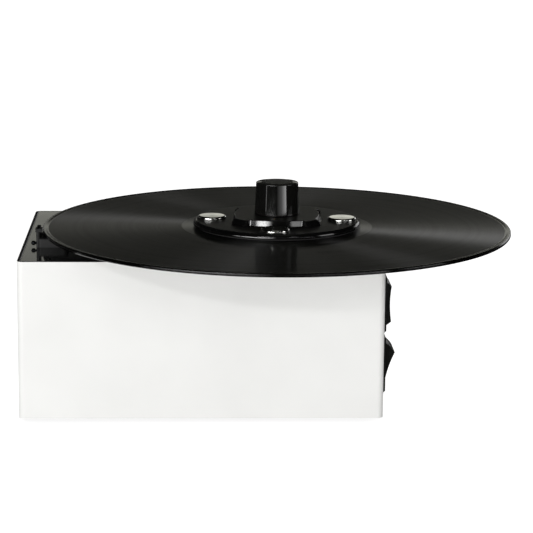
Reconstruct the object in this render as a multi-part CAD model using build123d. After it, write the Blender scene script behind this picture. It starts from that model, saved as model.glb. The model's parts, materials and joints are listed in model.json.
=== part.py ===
"""Record cleaning machine: a compact cabinet, a turntable with record clamp, and wet-vacuum works.

Millimetres, +Z up.  The origin is the centre of the whole machine's footprint at the level of the
surface it stands on.  X runs to the right seen from the front panel, Y runs to the back.
Every piece is built at its place in the assembled machine and written to parts/NODE.step.
"""
from build123d import *
import math
import os

# ---------------------------------------------------------------- driving dimensions
# Record
record_radius = 150.8
record_rim_thickness = 2.4
record_rim_width = 3.0
record_play_thickness = 1.8
label_radius = 50.0
label_thickness = 3.0
paper_label_thickness = 0.15
record_hole_radius = 3.65
record_rim_edge = 0.8
record_rim_bevel = 0.45
record_rim_slope = 1.2
label_land_slope = 0.8
label_recess = 0.05

# Cabinet
cabinet_width = 227.0
cabinet_depth = 175.0
sleeve_height = 99.5
sheet = 2.0
corner_radius = 4.0
top_plate_thickness = 3.0
base_thickness = 1.5
plate_gap = 0.3
foot_stand = 3.0
spindle_from_right = 64.5
spindle_from_front = 73.0
record_above_plate = 7.0

# Feet, corner posts and their screws
foot_radius = 7.5
foot_taper = 0.7
foot_edge = 0.4
foot_inset = 23.0
foot_screw_radius = 1.5
foot_screw_head_radius = 3.2
foot_screw_head_height = 1.2
foot_well_depth = 1.8
post_side = 9.0
post_relief_radius = 5.0
post_screw_radius = 1.5
post_screw_head_radius = 2.8
post_screw_length = 12.0
post_screw_end_gap = 1.0
pan_head_rounding = 0.7
fastener_gap = 0.02
screw_clearance = 0.2

# Spindle, bearing and platter
spindle_radius = 5.0
pin_radius = 3.575
thread_radius = 3.0
pin_shoulder = 0.6
thread_relief = 0.4
thread_top_above_record = 21.6
thread_lead = 1.2
thread_lead_taper = 1.0
spindle_chamfer = 0.6
spindle_flange_radius = 12.0
spindle_flange_height = 1.5
bush_wall = 2.0
bush_length_below = 3.0
bush_proud = 0.5
bush_flange_radius = 11.0
bush_flange_height = 2.0
running_gap = 0.03
thrust_washer_thickness = 0.3
platter_radius = 49.0
platter_lift = 1.0
platter_rim_radius = 1.2
platter_land_width = 6.0
platter_land_slope = 1.0
mat_thickness = 1.5
mat_ring_width = 7.8
mat_centre_radius = 15.0
mat_relief = 0.4
mat_step = 0.5
rest_gap = 0.3

# Gear motor and its mounting
coupling_radius = 9.0
coupling_length = 17.0
coupling_gap = 0.02
coupling_chamfer = 0.8
coupling_set_hole_radius = 1.5
coupling_set_hole_inset = 4.0
shaft_end_gap = 1.0
mount_drop = 28.0
mount_plate_thickness = 2.0
mount_plate_side = 64.0
mount_plate_corner = 8.0
mount_post_radius = 3.5
mount_post_spread = 50.0
gearbox_radius = 25.0
gearbox_height = 20.0
motor_radius = 18.0
motor_height = 34.0
motor_boss_radius = 7.0
motor_boss_height = 1.5
motor_shaft_radius = 3.0
motor_shaft_flat_depth = 0.5
motor_shaft_seat = 2.0
motor_rounding = 1.5
motor_screw_radius = 1.5
motor_screw_circle = 19.0
motor_screw_head_radius = 2.7
motor_screw_head_height = 2.0
motor_screw_reach = 3.0
motor_screw_end_gap = 0.5

# Record clamp
clamp_radius = 54.0
clamp_rim_thickness = 3.1
clamp_rim_fillet = 2.4
clamp_hub_height = 3.6
clamp_hub_foot_radius = 35.6
clamp_hub_top_radius = 32.6
clamp_above_label = 0.7
clamp_turn = -4.0
pocket_count = 4
pocket_wall_distance = 28.5
pocket_wall_radius = 60.0
pocket_half_width = 16.4
pocket_flare = 66.0
pocket_corner_radius = 1.5
clamp_screw_circle = 42.0
clamp_screw_head_radius = 9.2
clamp_screw_head_height = 2.0
clamp_screw_rim_height = 0.9
clamp_screw_shank_radius = 2.0
clamp_screw_end_gap = 0.1
clamp_screw_first_angle = 17.0
clamp_screw_angle_step = 31.0
cross_width = 1.8
cross_length = 9.0
cross_depth = 1.1
backplate_radius = 47.5
backplate_thickness = 1.1
backplate_bore_radius = 9.0
seal_radius = 50.9
seal_section_width = 2.2
seal_groove_depth = 1.2
seal_lip_outward = 0.4
seal_lip_inward = 0.6
clamp_bore_gap = 0.2

# Clamp knob
knob_bottom_radius = 14.5
knob_top_radius = 13.6
knob_height = 20.8
knob_crown_radius = 9.0
knob_crown_drop = 1.6
knob_edge_radius = 1.4
insert_radius = 6.0
insert_reach_below = 5.3
insert_top_wall = 4.5
insert_end_wall = 2.0
thread_gap = 0.05
circlip_thickness = 0.6
circlip_reach = 1.6
circlip_groove = 0.4
circlip_above_end = 0.25
circlip_opening = 3.0

# Rocker switches in the right wall
switch_from_front = 26.0
upper_switch_height = 69.6
switch_pitch = 38.8
rocker_radius = 16.0
rocker_pivot_depth = 6.0
rocker_tip_angle = 45.0
rocker_hollow = 0.9
rocker_throw = 16.8
rocker_half_width = 10.3
rocker_edge_radius = 0.7
rocker_hub_radius = 4.0
rocker_back = 2.0
rocker_pin_radius = 1.5
rocker_pin_length = 0.7
rocker_gap = 0.3
switch_wall = 0.9
bezel_overlap_length = 0.6
bezel_overlap_width = 1.5
bezel_thickness = 1.5
bezel_edge_radius = 0.6
switch_cavity_depth = 15.0
switch_body_depth = 24.0
tab_width = 6.3
tab_thickness = 0.8
tab_length = 8.0
tab_pitch = 8.0
cutout_gap = 0.2

# Vacuum-arm socket on the left of the top plate
socket_from_left = 9.2
socket_from_front = 45.0
socket_length = 20.0
socket_depth = 22.0
socket_height = 5.8
socket_corner = 3.0
socket_edge = 0.5
nozzle_width = 2.4
nozzle_depth = 14.0
nozzle_height = 12.0
nozzle_wall = 0.6
lip_height = 2.0
lip_left = 0.5
lip_right = 1.3
lip_depth = 6.6
socket_duct_height = 3.0
spigot_radius = 6.0
spigot_bore = 4.0
spigot_length = 16.0
socket_nut_radius = 9.5
socket_nut_height = 4.0
socket_nut_notch_count = 8
socket_nut_notch_radius = 1.1
stud_ball_radius = 1.5
stud_neck_radius = 0.8
stud_neck_length = 0.9
stud_height = 2.4
stud_back = 3.2

# Waste tank and hoses
tank_left_gap = 4.5
tank_front_gap = 9.0
tank_blower_gap = 5.0
tank_depth = 126.0
tank_height = 60.0
tank_wall = 2.0
tank_corner = 8.0
tank_rib_count = 5
tank_rib_depth = 1.2
tank_rib_width = 4.0
lid_thickness = 2.5
lid_lip_height = 4.0
lid_lip_wall = 1.6
lid_gap = 0.2
port_radius = 6.0
port_bore = 4.2
port_height = 9.0
hose_wall = 2.0
hose_gap = 0.05
hose_overlap = 6.0
air_port_from_right = 18.0
air_port_from_back = 16.0
drain_height = 9.0
drain_radius = 5.0
drain_bore = 3.2
drain_proud = 14.0
drain_flange_radius = 9.0
drain_flange_thickness = 2.0
drain_barb_step = 0.5
drain_barb_length = 2.0
drain_barb_taper = 14.0
drain_from_left = 40.0
cap_wall = 2.0
cap_gap = 0.06
cap_rim_width = 1.6
cap_edge_radius = 1.2

# Vacuum blower
blower_x_from_spindle = -28.0
blower_from_back = 38.0
blower_motor_radius = 21.0
blower_motor_height = 27.0
blower_motor_lip = 2.0
blower_motor_rounding = 1.5
scroll_radius = 31.0
scroll_height = 22.0
scroll_wall = 2.0
scroll_outlet_width = 20.0
cover_thickness = 2.0
collar_height = 8.0
impeller_radius = 25.0
impeller_height = 12.0
impeller_web = 1.5
impeller_hub_radius = 5.0
impeller_eye_radius = 9.0
blade_count = 10
blade_thickness = 1.2
blade_sweep = 55.0
blade_inner_share = 0.32
blade_end_gap = 0.5
hub_below_blades = 2.0
blower_shaft_radius = 2.0
impeller_lift = 1.5

# Power supply and mains inlet
board_width = 34.0
board_depth = 80.0
board_thickness = 1.6
board_standoff = 6.0
board_standoff_radius = 3.0
board_from_right = 3.0
board_from_back = 26.0
transformer_width = 30.0
transformer_depth = 34.0
transformer_height = 28.0
transformer_from_board_front = 10.0
bobbin_step = 5.0
bobbin_corner = 3.0
capacitor_radii = (6.0, 5.0)
capacitor_height = 16.0
capacitor_pitch = 15.0
capacitor_inset = 9.0
fin_count = 4
fin_thickness = 1.2
fin_pitch = 2.6
fin_length = 18.0
fin_height = 18.0
fin_from_middle = 3.0
fin_from_transformer = 4.0
header_width = 16.0
header_depth = 5.0
header_height = 8.0
header_from_middle = -6.0
header_from_transformer = 25.0
board_standoff_tip = 1.0
board_standoff_inset = 0.5
inlet_from_right = 36.0
inlet_height = 33.0
inlet_width = 27.0
inlet_tall = 20.0
inlet_body_depth = 17.0
inlet_flange_width = 48.0
inlet_flange_height = 24.0
inlet_flange_thickness = 2.5
inlet_screw_pitch = 40.0
inlet_well_width = 24.5
inlet_well_height = 16.5
inlet_well_depth = 15.5
inlet_pin_width = 2.0
inlet_pin_tall = 4.0
inlet_pin_pitch = 7.0
inlet_pin_offset = 2.0
inlet_pin_recess = 2.5
inlet_flange_corner = 4.0
inlet_well_slant = 4.5
inlet_screw_head_height = 1.8
inlet_screw_head_rounding = 0.9
inlet_screw_end = 4.0
nut_width_ratio = 1.9
nut_height = 2.4

# Rear exhaust louvres
louvre_count = 5
louvre_width = 2.2
louvre_length = 22.0
louvre_pitch = 3.6

# ---------------------------------------------------------------- levels and places
spindle_from_left = cabinet_width - spindle_from_right
spindle_x = (spindle_from_left - record_radius) / 2
spindle_y = 0.0
left = spindle_x - spindle_from_left
right = left + cabinet_width
front = spindle_y - spindle_from_front
back = front + cabinet_depth
middle_x = (left + right) / 2
middle_y = (front + back) / 2
inner_left = left + sheet
inner_right = right - sheet
inner_front = front + sheet
inner_back = back - sheet

sleeve_bottom = foot_stand
sleeve_top = sleeve_bottom + sleeve_height
base_top = sleeve_bottom + base_thickness
plate_top = sleeve_top
plate_bottom = plate_top - top_plate_thickness

record_bottom = plate_top + record_above_plate
record_top = record_bottom + record_rim_thickness
record_mid = (record_bottom + record_top) / 2
label_bottom = record_mid - label_thickness / 2
label_top = record_mid + label_thickness / 2
play_top = record_mid + record_play_thickness / 2
mat_top = label_bottom - rest_gap
mat_bottom = mat_top - mat_thickness
platter_bottom = plate_top + platter_lift

clamp_bottom = label_top + clamp_above_label
clamp_floor = clamp_bottom + clamp_rim_thickness
clamp_hub_top = clamp_floor + clamp_hub_height
knob_bottom = clamp_hub_top + rest_gap
knob_top = knob_bottom + knob_height
insert_bottom = knob_bottom - insert_reach_below
insert_top = knob_top - insert_top_wall
thread_top = label_top + thread_top_above_record

mount_plate_top = plate_bottom - mount_drop + mount_plate_thickness
mount_plate_bottom = mount_plate_top - mount_plate_thickness
gearbox_bottom = mount_plate_bottom - gearbox_height
motor_bottom = gearbox_bottom - motor_height
coupling_bottom = mount_plate_top + motor_boss_height
coupling_top = coupling_bottom + coupling_length
spindle_bottom = coupling_bottom + coupling_length / 2 + shaft_end_gap / 2


# ---------------------------------------------------------------- helpers
def block(x0, x1, y0, y1, z0, z1):
    """Box between two opposite corners."""
    return Pos((x0 + x1) / 2, (y0 + y1) / 2, (z0 + z1) / 2) * Box(x1 - x0, y1 - y0, z1 - z0)


def rod(x, y, z0, z1, radius):
    """Upright round bar."""
    return Pos(x, y, (z0 + z1) / 2) * Cylinder(radius, z1 - z0)


def rod_y(x, z, y0, y1, radius):
    """Round bar that runs front to back."""
    return Pos(x, (y0 + y1) / 2, z) * Rot(90, 0, 0) * Cylinder(radius, y1 - y0)


def rounded_block(x0, x1, y0, y1, z0, z1, radius):
    """Box with rounded upright edges."""
    outline = RectangleRounded(x1 - x0, y1 - y0, radius)
    return Pos((x0 + x1) / 2, (y0 + y1) / 2, z0) * extrude(outline, z1 - z0)


def turned(points, x, y):
    """Solid of revolution about the upright axis through x, y, from (radius, height) points."""
    profile = make_face(Polyline([(r, 0, z) for r, z in points], close=True))
    return Pos(x, y, 0) * revolve(profile, Axis.Z)


def corners(half_x, half_y):
    """The four sign pairs of a rectangle, scaled to its half sides."""
    return [(sx * half_x, sy * half_y) for sx in (-1, 1) for sy in (-1, 1)]


def save(shape, node):
    """Write one sub-part."""
    export_step(shape, "parts/" + node + ".step")


def group(solids):
    """Separate solids that share one node."""
    return Compound(children=list(solids))


os.makedirs("parts", exist_ok=True)


# ---------------------------------------------------------------- cabinet
switch_y = front + switch_from_front
cavity_half_length = rocker_radius + rocker_gap
cavity_half_width = rocker_half_width + rocker_gap
switch_half_length = cavity_half_length + switch_wall
switch_half_width = cavity_half_width + switch_wall
bezel_half_length = switch_half_length + bezel_overlap_length
bezel_half_width = switch_half_width + bezel_overlap_width
switch_heights = {"rotation": sleeve_bottom + upper_switch_height,
                  "vacuum": sleeve_bottom + upper_switch_height - switch_pitch}

inlet_x = right - inlet_from_right
inlet_z = sleeve_bottom + inlet_height
drain_x = left + drain_from_left
drain_z = base_top + drain_height
blower_x = spindle_x + blower_x_from_spindle
blower_y = back - blower_from_back
blower_motor_top = base_top + blower_motor_height
scroll_bottom = blower_motor_top
scroll_top = scroll_bottom + scroll_height
louvre_x = blower_x + scroll_radius - scroll_outlet_width / 2
louvre_z = (scroll_bottom + scroll_top) / 2


def cabinet_sleeve():
    """Folded composite sheet: front, sides and back in one closed sleeve with its cut-outs."""
    outside = rounded_block(left, right, front, back, sleeve_bottom, sleeve_top, corner_radius)
    inside = rounded_block(inner_left, inner_right, inner_front, inner_back,
                           sleeve_bottom, sleeve_top, corner_radius - sheet)
    sleeve = outside - inside
    half_y = switch_half_width + cutout_gap
    half_z = switch_half_length + cutout_gap
    for height in switch_heights.values():
        sleeve -= block(inner_right - sheet, right + sheet, switch_y - half_y, switch_y + half_y,
                        height - half_z, height + half_z)
    half_x = inlet_width / 2 + cutout_gap
    half_z = inlet_tall / 2 + cutout_gap
    sleeve -= block(inlet_x - half_x, inlet_x + half_x, inner_back - sheet, back + sheet,
                    inlet_z - half_z, inlet_z + half_z)
    for side in (-1, 1):
        sleeve -= rod_y(inlet_x + side * inlet_screw_pitch / 2, inlet_z,
                        inner_back - sheet, back + sheet, post_screw_radius + screw_clearance)
    sleeve -= rod_y(drain_x, drain_z, inner_back - sheet, back + sheet, drain_radius + screw_clearance)
    first = louvre_x - louvre_pitch * (louvre_count - 1) / 2
    for i in range(louvre_count):
        slot = RectangleRounded(louvre_width, louvre_length, louvre_width * 0.49)
        cutter = Rot(90, 0, 0) * extrude(slot, 3 * sheet, both=True)
        sleeve -= Pos(first + i * louvre_pitch, inner_back + sheet / 2, louvre_z) * cutter
    return sleeve


def top_plate():
    """Gloss plate set flush into the sleeve, bored for the bearing and the arm socket."""
    gap = plate_gap
    plate = rounded_block(inner_left + gap, inner_right - gap, inner_front + gap, inner_back - gap,
                          plate_bottom, plate_top, corner_radius - sheet)
    plate -= rod(spindle_x, spindle_y, plate_bottom, plate_top, bush_radius + screw_clearance)
    plate -= rod(socket_bore_x, socket_bore_y, plate_bottom, plate_top, spigot_radius + screw_clearance)
    return plate


def base_plate():
    """Steel bottom sheet with holes for the feet, the posts and cooling air."""
    gap = plate_gap
    plate = rounded_block(inner_left + gap, inner_right - gap, inner_front + gap, inner_back - gap,
                          sleeve_bottom, base_top, corner_radius - sheet)
    for x, y in foot_places:
        plate -= rod(x, y, sleeve_bottom, base_top, foot_screw_radius + screw_clearance)
    for x, y in post_places:
        plate -= rod(x, y, sleeve_bottom, base_top, post_screw_radius + screw_clearance)
    first = blower_x - louvre_pitch * (louvre_count - 1) / 2
    for i in range(louvre_count):
        slot = RectangleRounded(louvre_width, louvre_length, louvre_width * 0.49)
        cutter = extrude(slot, base_thickness * 2, both=True)
        plate -= Pos(first + i * louvre_pitch, blower_y, sleeve_bottom) * cutter
    return plate


post_inset = post_side / 2
post_places = [(middle_x + dx, middle_y + dy)
               for dx, dy in corners(cabinet_width / 2 - sheet - post_inset,
                                     cabinet_depth / 2 - sheet - post_inset)]
foot_places = [(middle_x + dx, middle_y + dy)
               for dx, dy in corners(cabinet_width / 2 - foot_inset, cabinet_depth / 2 - foot_inset)]
bush_radius = spindle_radius + running_gap + bush_wall


def corner_posts():
    """Extruded posts in the four corners, relieved inside and tapped from below."""
    posts = []
    for x, y in post_places:
        half = post_side / 2
        post = block(x - half, x + half, y - half, y + half, base_top, plate_bottom)
        outward_x = math.copysign(1, x - middle_x)
        outward_y = math.copysign(1, y - middle_y)
        outer = (x + outward_x * half, y + outward_y * half)
        rounding = corner_radius - sheet
        square = block(outer[0] - rounding, outer[0] + rounding, outer[1] - rounding,
                       outer[1] + rounding, base_top, plate_bottom)
        centre = (outer[0] - outward_x * rounding, outer[1] - outward_y * rounding)
        square -= rod(centre[0], centre[1], base_top, plate_bottom, rounding)
        keep_x = centre[0] + outward_x * rounding
        keep_y = centre[1] + outward_y * rounding
        square &= block(min(centre[0], keep_x), max(centre[0], keep_x),
                        min(centre[1], keep_y), max(centre[1], keep_y), base_top, plate_bottom)
        post -= square
        post -= rod(x - outward_x * half, y - outward_y * half, base_top, plate_bottom,
                    post_side - post_relief_radius)
        post -= rod(x, y, base_top, base_top + post_screw_length, post_screw_radius + fastener_gap)
        posts.append(post)
    return group(posts)


def post_screws():
    """Pan-head screws that hold the base plate to the posts."""
    screws = []
    for x, y in post_places:
        head = rod(x, y, sleeve_bottom - foot_screw_head_height, sleeve_bottom, post_screw_head_radius)
        rim = head.edges().filter_by(GeomType.CIRCLE).sort_by(Axis.Z)[0]
        head = fillet(rim, pan_head_rounding)
        shank_top = base_top + post_screw_length - post_screw_end_gap
        screws.append(head + rod(x, y, sleeve_bottom, shank_top, post_screw_radius))
    return group(screws)


def rubber_feet():
    """Four tapered rubber feet with a well for their screws."""
    feet = []
    well_top = foot_well_depth
    for x, y in foot_places:
        foot = turned([(foot_screw_radius + screw_clearance, well_top),
                       (foot_screw_radius + screw_clearance, sleeve_bottom),
                       (foot_radius, sleeve_bottom),
                       (foot_radius - foot_taper, foot_edge),
                       (foot_radius - foot_taper - foot_edge, 0.0),
                       (foot_screw_head_radius + screw_clearance, 0.0),
                       (foot_screw_head_radius + screw_clearance, well_top)], x, y)
        feet.append(foot)
    return group(feet)


def foot_screws():
    """Screws through the feet into tapped holes of the base plate."""
    screws = []
    head_bottom = foot_well_depth - foot_screw_head_height
    for x, y in foot_places:
        screw = rod(x, y, head_bottom, foot_well_depth, foot_screw_head_radius)
        screws.append(screw + rod(x, y, foot_well_depth, base_top, foot_screw_radius))
    return group(screws)


# ---------------------------------------------------------------- bearing, spindle and platter
def spindle_bush():
    """Flanged bronze bush that carries the spindle in the top plate."""
    bore = spindle_radius + running_gap
    flange_top = plate_bottom
    flange_bottom = flange_top - bush_flange_height
    return turned([(bore, flange_bottom - bush_length_below), (bore, plate_top + bush_proud),
                   (bush_radius, plate_top + bush_proud), (bush_radius, flange_top),
                   (bush_flange_radius, flange_top), (bush_flange_radius, flange_bottom),
                   (bush_radius, flange_bottom), (bush_radius, flange_bottom - bush_length_below)],
                  spindle_x, spindle_y)


def thrust_washer():
    """Slip washer on the bush, under the spindle's flange."""
    low = plate_top + bush_proud
    washer = rod(spindle_x, spindle_y, low, low + thrust_washer_thickness, bush_radius)
    return washer - rod(spindle_x, spindle_y, low, low + 1, spindle_radius + screw_clearance)


def spindle():
    """Turned shaft: drive end, flange for the platter, record pin and clamp thread."""
    return turned([(0, spindle_bottom), (spindle_radius - spindle_chamfer, spindle_bottom),
                   (spindle_radius, spindle_bottom + spindle_chamfer), (spindle_radius, platter_bottom),
                   (spindle_flange_radius, platter_bottom),
                   (spindle_flange_radius, platter_bottom + spindle_flange_height),
                   (spindle_radius, platter_bottom + spindle_flange_height),
                   (spindle_radius, mat_bottom), (pin_radius, mat_bottom),
                   (pin_radius, label_top + pin_shoulder),
                   (thread_radius, label_top + pin_shoulder + thread_relief),
                   (thread_radius, thread_top - thread_lead),
                   (thread_radius - thread_lead_taper, thread_top),
                   (0, thread_top)], spindle_x, spindle_y)


def platter():
    """Label-sized aluminium platter, dished below and rounded at its rim."""
    dish = platter_bottom + spindle_flange_height
    land = platter_radius - platter_land_width
    bore = spindle_radius + coupling_gap
    disc = turned([(bore, dish), (bore, mat_bottom), (platter_radius, mat_bottom),
                   (platter_radius, platter_bottom), (land, platter_bottom),
                   (land - platter_land_slope, dish)], spindle_x, spindle_y)
    rims = disc.edges().filter_by(GeomType.CIRCLE)
    outer = [e for e in rims if abs(e.radius - platter_radius) < 0.01]
    return fillet(outer, platter_rim_radius)


def platter_mat():
    """Rubber mat with a raised ring that drives the label."""
    edge = platter_radius - platter_rim_radius
    ring_inner = edge - mat_ring_width
    bore = pin_radius + screw_clearance
    low = mat_top - mat_relief
    return turned([(bore, mat_bottom), (bore, mat_top), (mat_centre_radius, mat_top),
                   (mat_centre_radius + mat_step, low), (ring_inner - mat_step, low),
                   (ring_inner, mat_top), (edge, mat_top), (edge, mat_bottom)], spindle_x, spindle_y)


def record_profile():
    """Half section of a pressed record: label land, run-out, playing band and rim bead."""
    rim_inner = record_radius - record_rim_width
    rim_flat = record_rim_thickness / 2 - record_rim_bevel
    land = label_top - paper_label_thickness
    upper = [(record_hole_radius, land), (label_radius, land),
             (label_radius, label_top - label_recess), (label_radius + label_land_slope, play_top),
             (rim_inner, play_top), (rim_inner + record_rim_slope, record_top),
             (record_radius - record_rim_edge, record_top), (record_radius, record_mid + rim_flat)]
    lower = [(r, 2 * record_mid - z) for r, z in reversed(upper)]
    return upper + lower


def vinyl_record():
    """Twelve-inch record."""
    return turned(record_profile(), spindle_x, spindle_y)


def record_labels():
    """Paper labels pressed into both sides."""
    labels = []
    for low in (label_bottom, label_top - paper_label_thickness):
        label = rod(spindle_x, spindle_y, low, low + paper_label_thickness,
                    label_radius - label_recess)
        labels.append(label - rod(spindle_x, spindle_y, low - 1, low + 1, record_hole_radius))
    return group(labels)


# ---------------------------------------------------------------- gear motor
def motor_mount_plate():
    """Plate that hangs the gear motor under the top plate."""
    half = mount_plate_side / 2
    plate = rounded_block(spindle_x - half, spindle_x + half, spindle_y - half, spindle_y + half,
                          mount_plate_bottom, mount_plate_top, mount_plate_corner)
    plate -= rod(spindle_x, spindle_y, mount_plate_bottom, mount_plate_top,
                 motor_boss_radius + screw_clearance)
    for x, y in mount_screw_places:
        plate -= rod(x, y, mount_plate_bottom, mount_plate_top, motor_screw_radius + screw_clearance)
    return plate


mount_post_places = [(spindle_x + dx, spindle_y + dy)
                     for dx, dy in corners(mount_post_spread / 2, mount_post_spread / 2)]
mount_screw_places = [(spindle_x + motor_screw_circle * math.cos(math.radians(a)),
                       spindle_y + motor_screw_circle * math.sin(math.radians(a)))
                      for a in (0, 90, 180, 270)]


def motor_standoffs():
    """Hexagonal posts between the mounting plate and the top plate."""
    posts = []
    for x, y in mount_post_places:
        post = extrude(RegularPolygon(mount_post_radius, 6), plate_bottom - mount_plate_top)
        posts.append(Pos(x, y, mount_plate_top) * post)
    return group(posts)


def motor_screws():
    """Cheese-head screws that hold the gearbox to its plate."""
    screws = []
    for x, y in mount_screw_places:
        screw = rod(x, y, mount_plate_top, mount_plate_top + motor_screw_head_height,
                    motor_screw_head_radius)
        screws.append(screw + rod(x, y, mount_plate_bottom - motor_screw_reach, mount_plate_top,
                                  motor_screw_radius))
    return group(screws)


def gear_motor():
    """Closed gear motor: gearbox with locating boss, motor can and end cap."""
    shaft_floor = gearbox_bottom + motor_shaft_seat
    profile = turned([(motor_shaft_radius + running_gap, shaft_floor),
                      (motor_shaft_radius + running_gap, mount_plate_bottom + motor_boss_height),
                      (motor_boss_radius, mount_plate_bottom + motor_boss_height),
                      (motor_boss_radius, mount_plate_bottom),
                      (gearbox_radius, mount_plate_bottom),
                      (gearbox_radius, gearbox_bottom + motor_rounding),
                      (gearbox_radius - motor_rounding, gearbox_bottom),
                      (motor_radius, gearbox_bottom),
                      (motor_radius, motor_bottom + motor_rounding),
                      (motor_radius - motor_rounding, motor_bottom),
                      (0, motor_bottom), (0, shaft_floor)], spindle_x, spindle_y)
    for x, y in mount_screw_places:
        profile -= rod(x, y, mount_plate_bottom - motor_screw_reach - motor_screw_end_gap,
                       mount_plate_bottom, motor_screw_radius + fastener_gap)
    return profile


def motor_output_shaft():
    """Gearbox output shaft with its drive flat."""
    low = gearbox_bottom + motor_shaft_seat + running_gap
    high = spindle_bottom - shaft_end_gap
    shaft = rod(spindle_x, spindle_y, low, high, motor_shaft_radius)
    flat = spindle_x + motor_shaft_radius - motor_shaft_flat_depth
    return shaft - block(flat, spindle_x + coupling_radius, spindle_y - motor_shaft_radius,
                         spindle_y + motor_shaft_radius, coupling_bottom, high)


def shaft_coupling():
    """Rigid coupling that joins the gearbox shaft to the spindle."""
    body = rod(spindle_x, spindle_y, coupling_bottom, coupling_top, coupling_radius)
    body = chamfer(body.edges().filter_by(GeomType.CIRCLE), coupling_chamfer)
    body -= rod(spindle_x, spindle_y, coupling_bottom, spindle_bottom,
                motor_shaft_radius + coupling_gap)
    body -= rod(spindle_x, spindle_y, spindle_bottom - coupling_gap, coupling_top,
                spindle_radius + coupling_gap)
    for height in (coupling_bottom + coupling_set_hole_inset, coupling_top - coupling_set_hole_inset):
        hole = Pos(spindle_x + coupling_radius, spindle_y, height) * Rot(0, 90, 0)
        body -= hole * Cylinder(coupling_set_hole_radius, 2 * (coupling_radius - spindle_radius))
    return body


# ---------------------------------------------------------------- record clamp
def clamp_place():
    """Turned position of the clamp on the spindle."""
    return Pos(spindle_x, spindle_y, 0) * Rot(0, 0, clamp_turn)


def clamp_pocket():
    """Cutter for one screw pocket, open outward, with a bowed back wall and flared sides."""
    bow = pocket_wall_radius - math.sqrt(pocket_wall_radius ** 2 - pocket_half_width ** 2)
    corner = (pocket_half_width, -(pocket_wall_distance - bow))
    flare = math.radians(pocket_flare)
    reach = clamp_hub_foot_radius
    end = (corner[0] + reach * math.sin(flare), corner[1] - reach * math.cos(flare))
    far = -(clamp_radius + clamp_rim_thickness)
    wall = ThreePointArc((-corner[0], corner[1]), (0, -pocket_wall_distance), corner)
    outline = wall + Polyline(corner, end, (end[0], far), (-end[0], far), (-end[0], end[1]),
                              (-corner[0], corner[1]))
    cutter = Pos(0, 0, clamp_floor) * extrude(make_face(outline), 2 * clamp_hub_height)
    wall_corners = [e for e in cutter.edges().filter_by(Axis.Z)
                    if abs(abs(e.center().X) - corner[0]) < 0.01 and abs(e.center().Y - corner[1]) < 0.01]
    return fillet(wall_corners, pocket_corner_radius)


def screw_angles():
    """Directions of the pockets and their screws."""
    return [360 / pocket_count * i for i in range(pocket_count)]


def clamp_disc():
    """Moulded clamp: dished rim, bevelled hub and four screw pockets cut into the hub."""
    ring_low = clamp_bottom + backplate_thickness
    disc = turned([(insert_radius + clamp_bore_gap, ring_low),
                   (insert_radius + clamp_bore_gap, clamp_hub_top),
                   (clamp_hub_top_radius, clamp_hub_top), (clamp_hub_foot_radius, clamp_floor),
                   (clamp_radius, clamp_floor), (clamp_radius, clamp_bottom),
                   (backplate_radius + screw_clearance, clamp_bottom),
                   (backplate_radius + screw_clearance, ring_low)], 0, 0)
    rim = [e for e in disc.edges().filter_by(GeomType.CIRCLE)
           if abs(e.radius - clamp_radius) < 0.01 and e.center().Z > clamp_floor - 0.01]
    disc = fillet(rim, clamp_rim_fillet)
    for angle in screw_angles():
        disc -= Rot(0, 0, angle) * clamp_pocket()
        disc -= Rot(0, 0, angle) * rod(0, -clamp_screw_circle, clamp_bottom, clamp_floor + 1,
                                       clamp_screw_shank_radius + screw_clearance)
    recess = insert_radius + circlip_reach + clamp_bore_gap
    disc -= rod(0, 0, ring_low, circlip_top + circlip_above_end, recess)
    groove = turned([(seal_radius - seal_section_width / 2, clamp_bottom - 1),
                     (seal_radius - seal_section_width / 2, clamp_bottom + seal_groove_depth),
                     (seal_radius + seal_section_width / 2, clamp_bottom + seal_groove_depth),
                     (seal_radius + seal_section_width / 2, clamp_bottom - 1)], 0, 0)
    disc -= groove
    return clamp_place() * disc


circlip_bottom = insert_bottom + circlip_above_end
circlip_top = circlip_bottom + circlip_thickness


def clamp_seal():
    """Rubber lip ring that keeps fluid off the label."""
    inner = seal_radius - seal_section_width / 2
    outer = seal_radius + seal_section_width / 2
    low = play_top + rest_gap
    return turned([(inner, clamp_bottom), (inner, clamp_bottom + seal_groove_depth),
                   (outer, clamp_bottom + seal_groove_depth), (outer, clamp_bottom),
                   (outer + seal_lip_outward, low), (outer - seal_lip_inward, low)],
                  spindle_x, spindle_y)


def clamp_backplate():
    """Aluminium ring that the clamp screws pull up into the disc."""
    plate = rod(0, 0, clamp_bottom, clamp_bottom + backplate_thickness, backplate_radius)
    plate -= rod(0, 0, clamp_bottom, clamp_bottom + backplate_thickness, backplate_bore_radius)
    for angle in screw_angles():
        plate -= Rot(0, 0, angle) * rod(0, -clamp_screw_circle, clamp_bottom,
                                        clamp_bottom + backplate_thickness,
                                        clamp_screw_shank_radius + fastener_gap)
    return clamp_place() * plate


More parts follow.
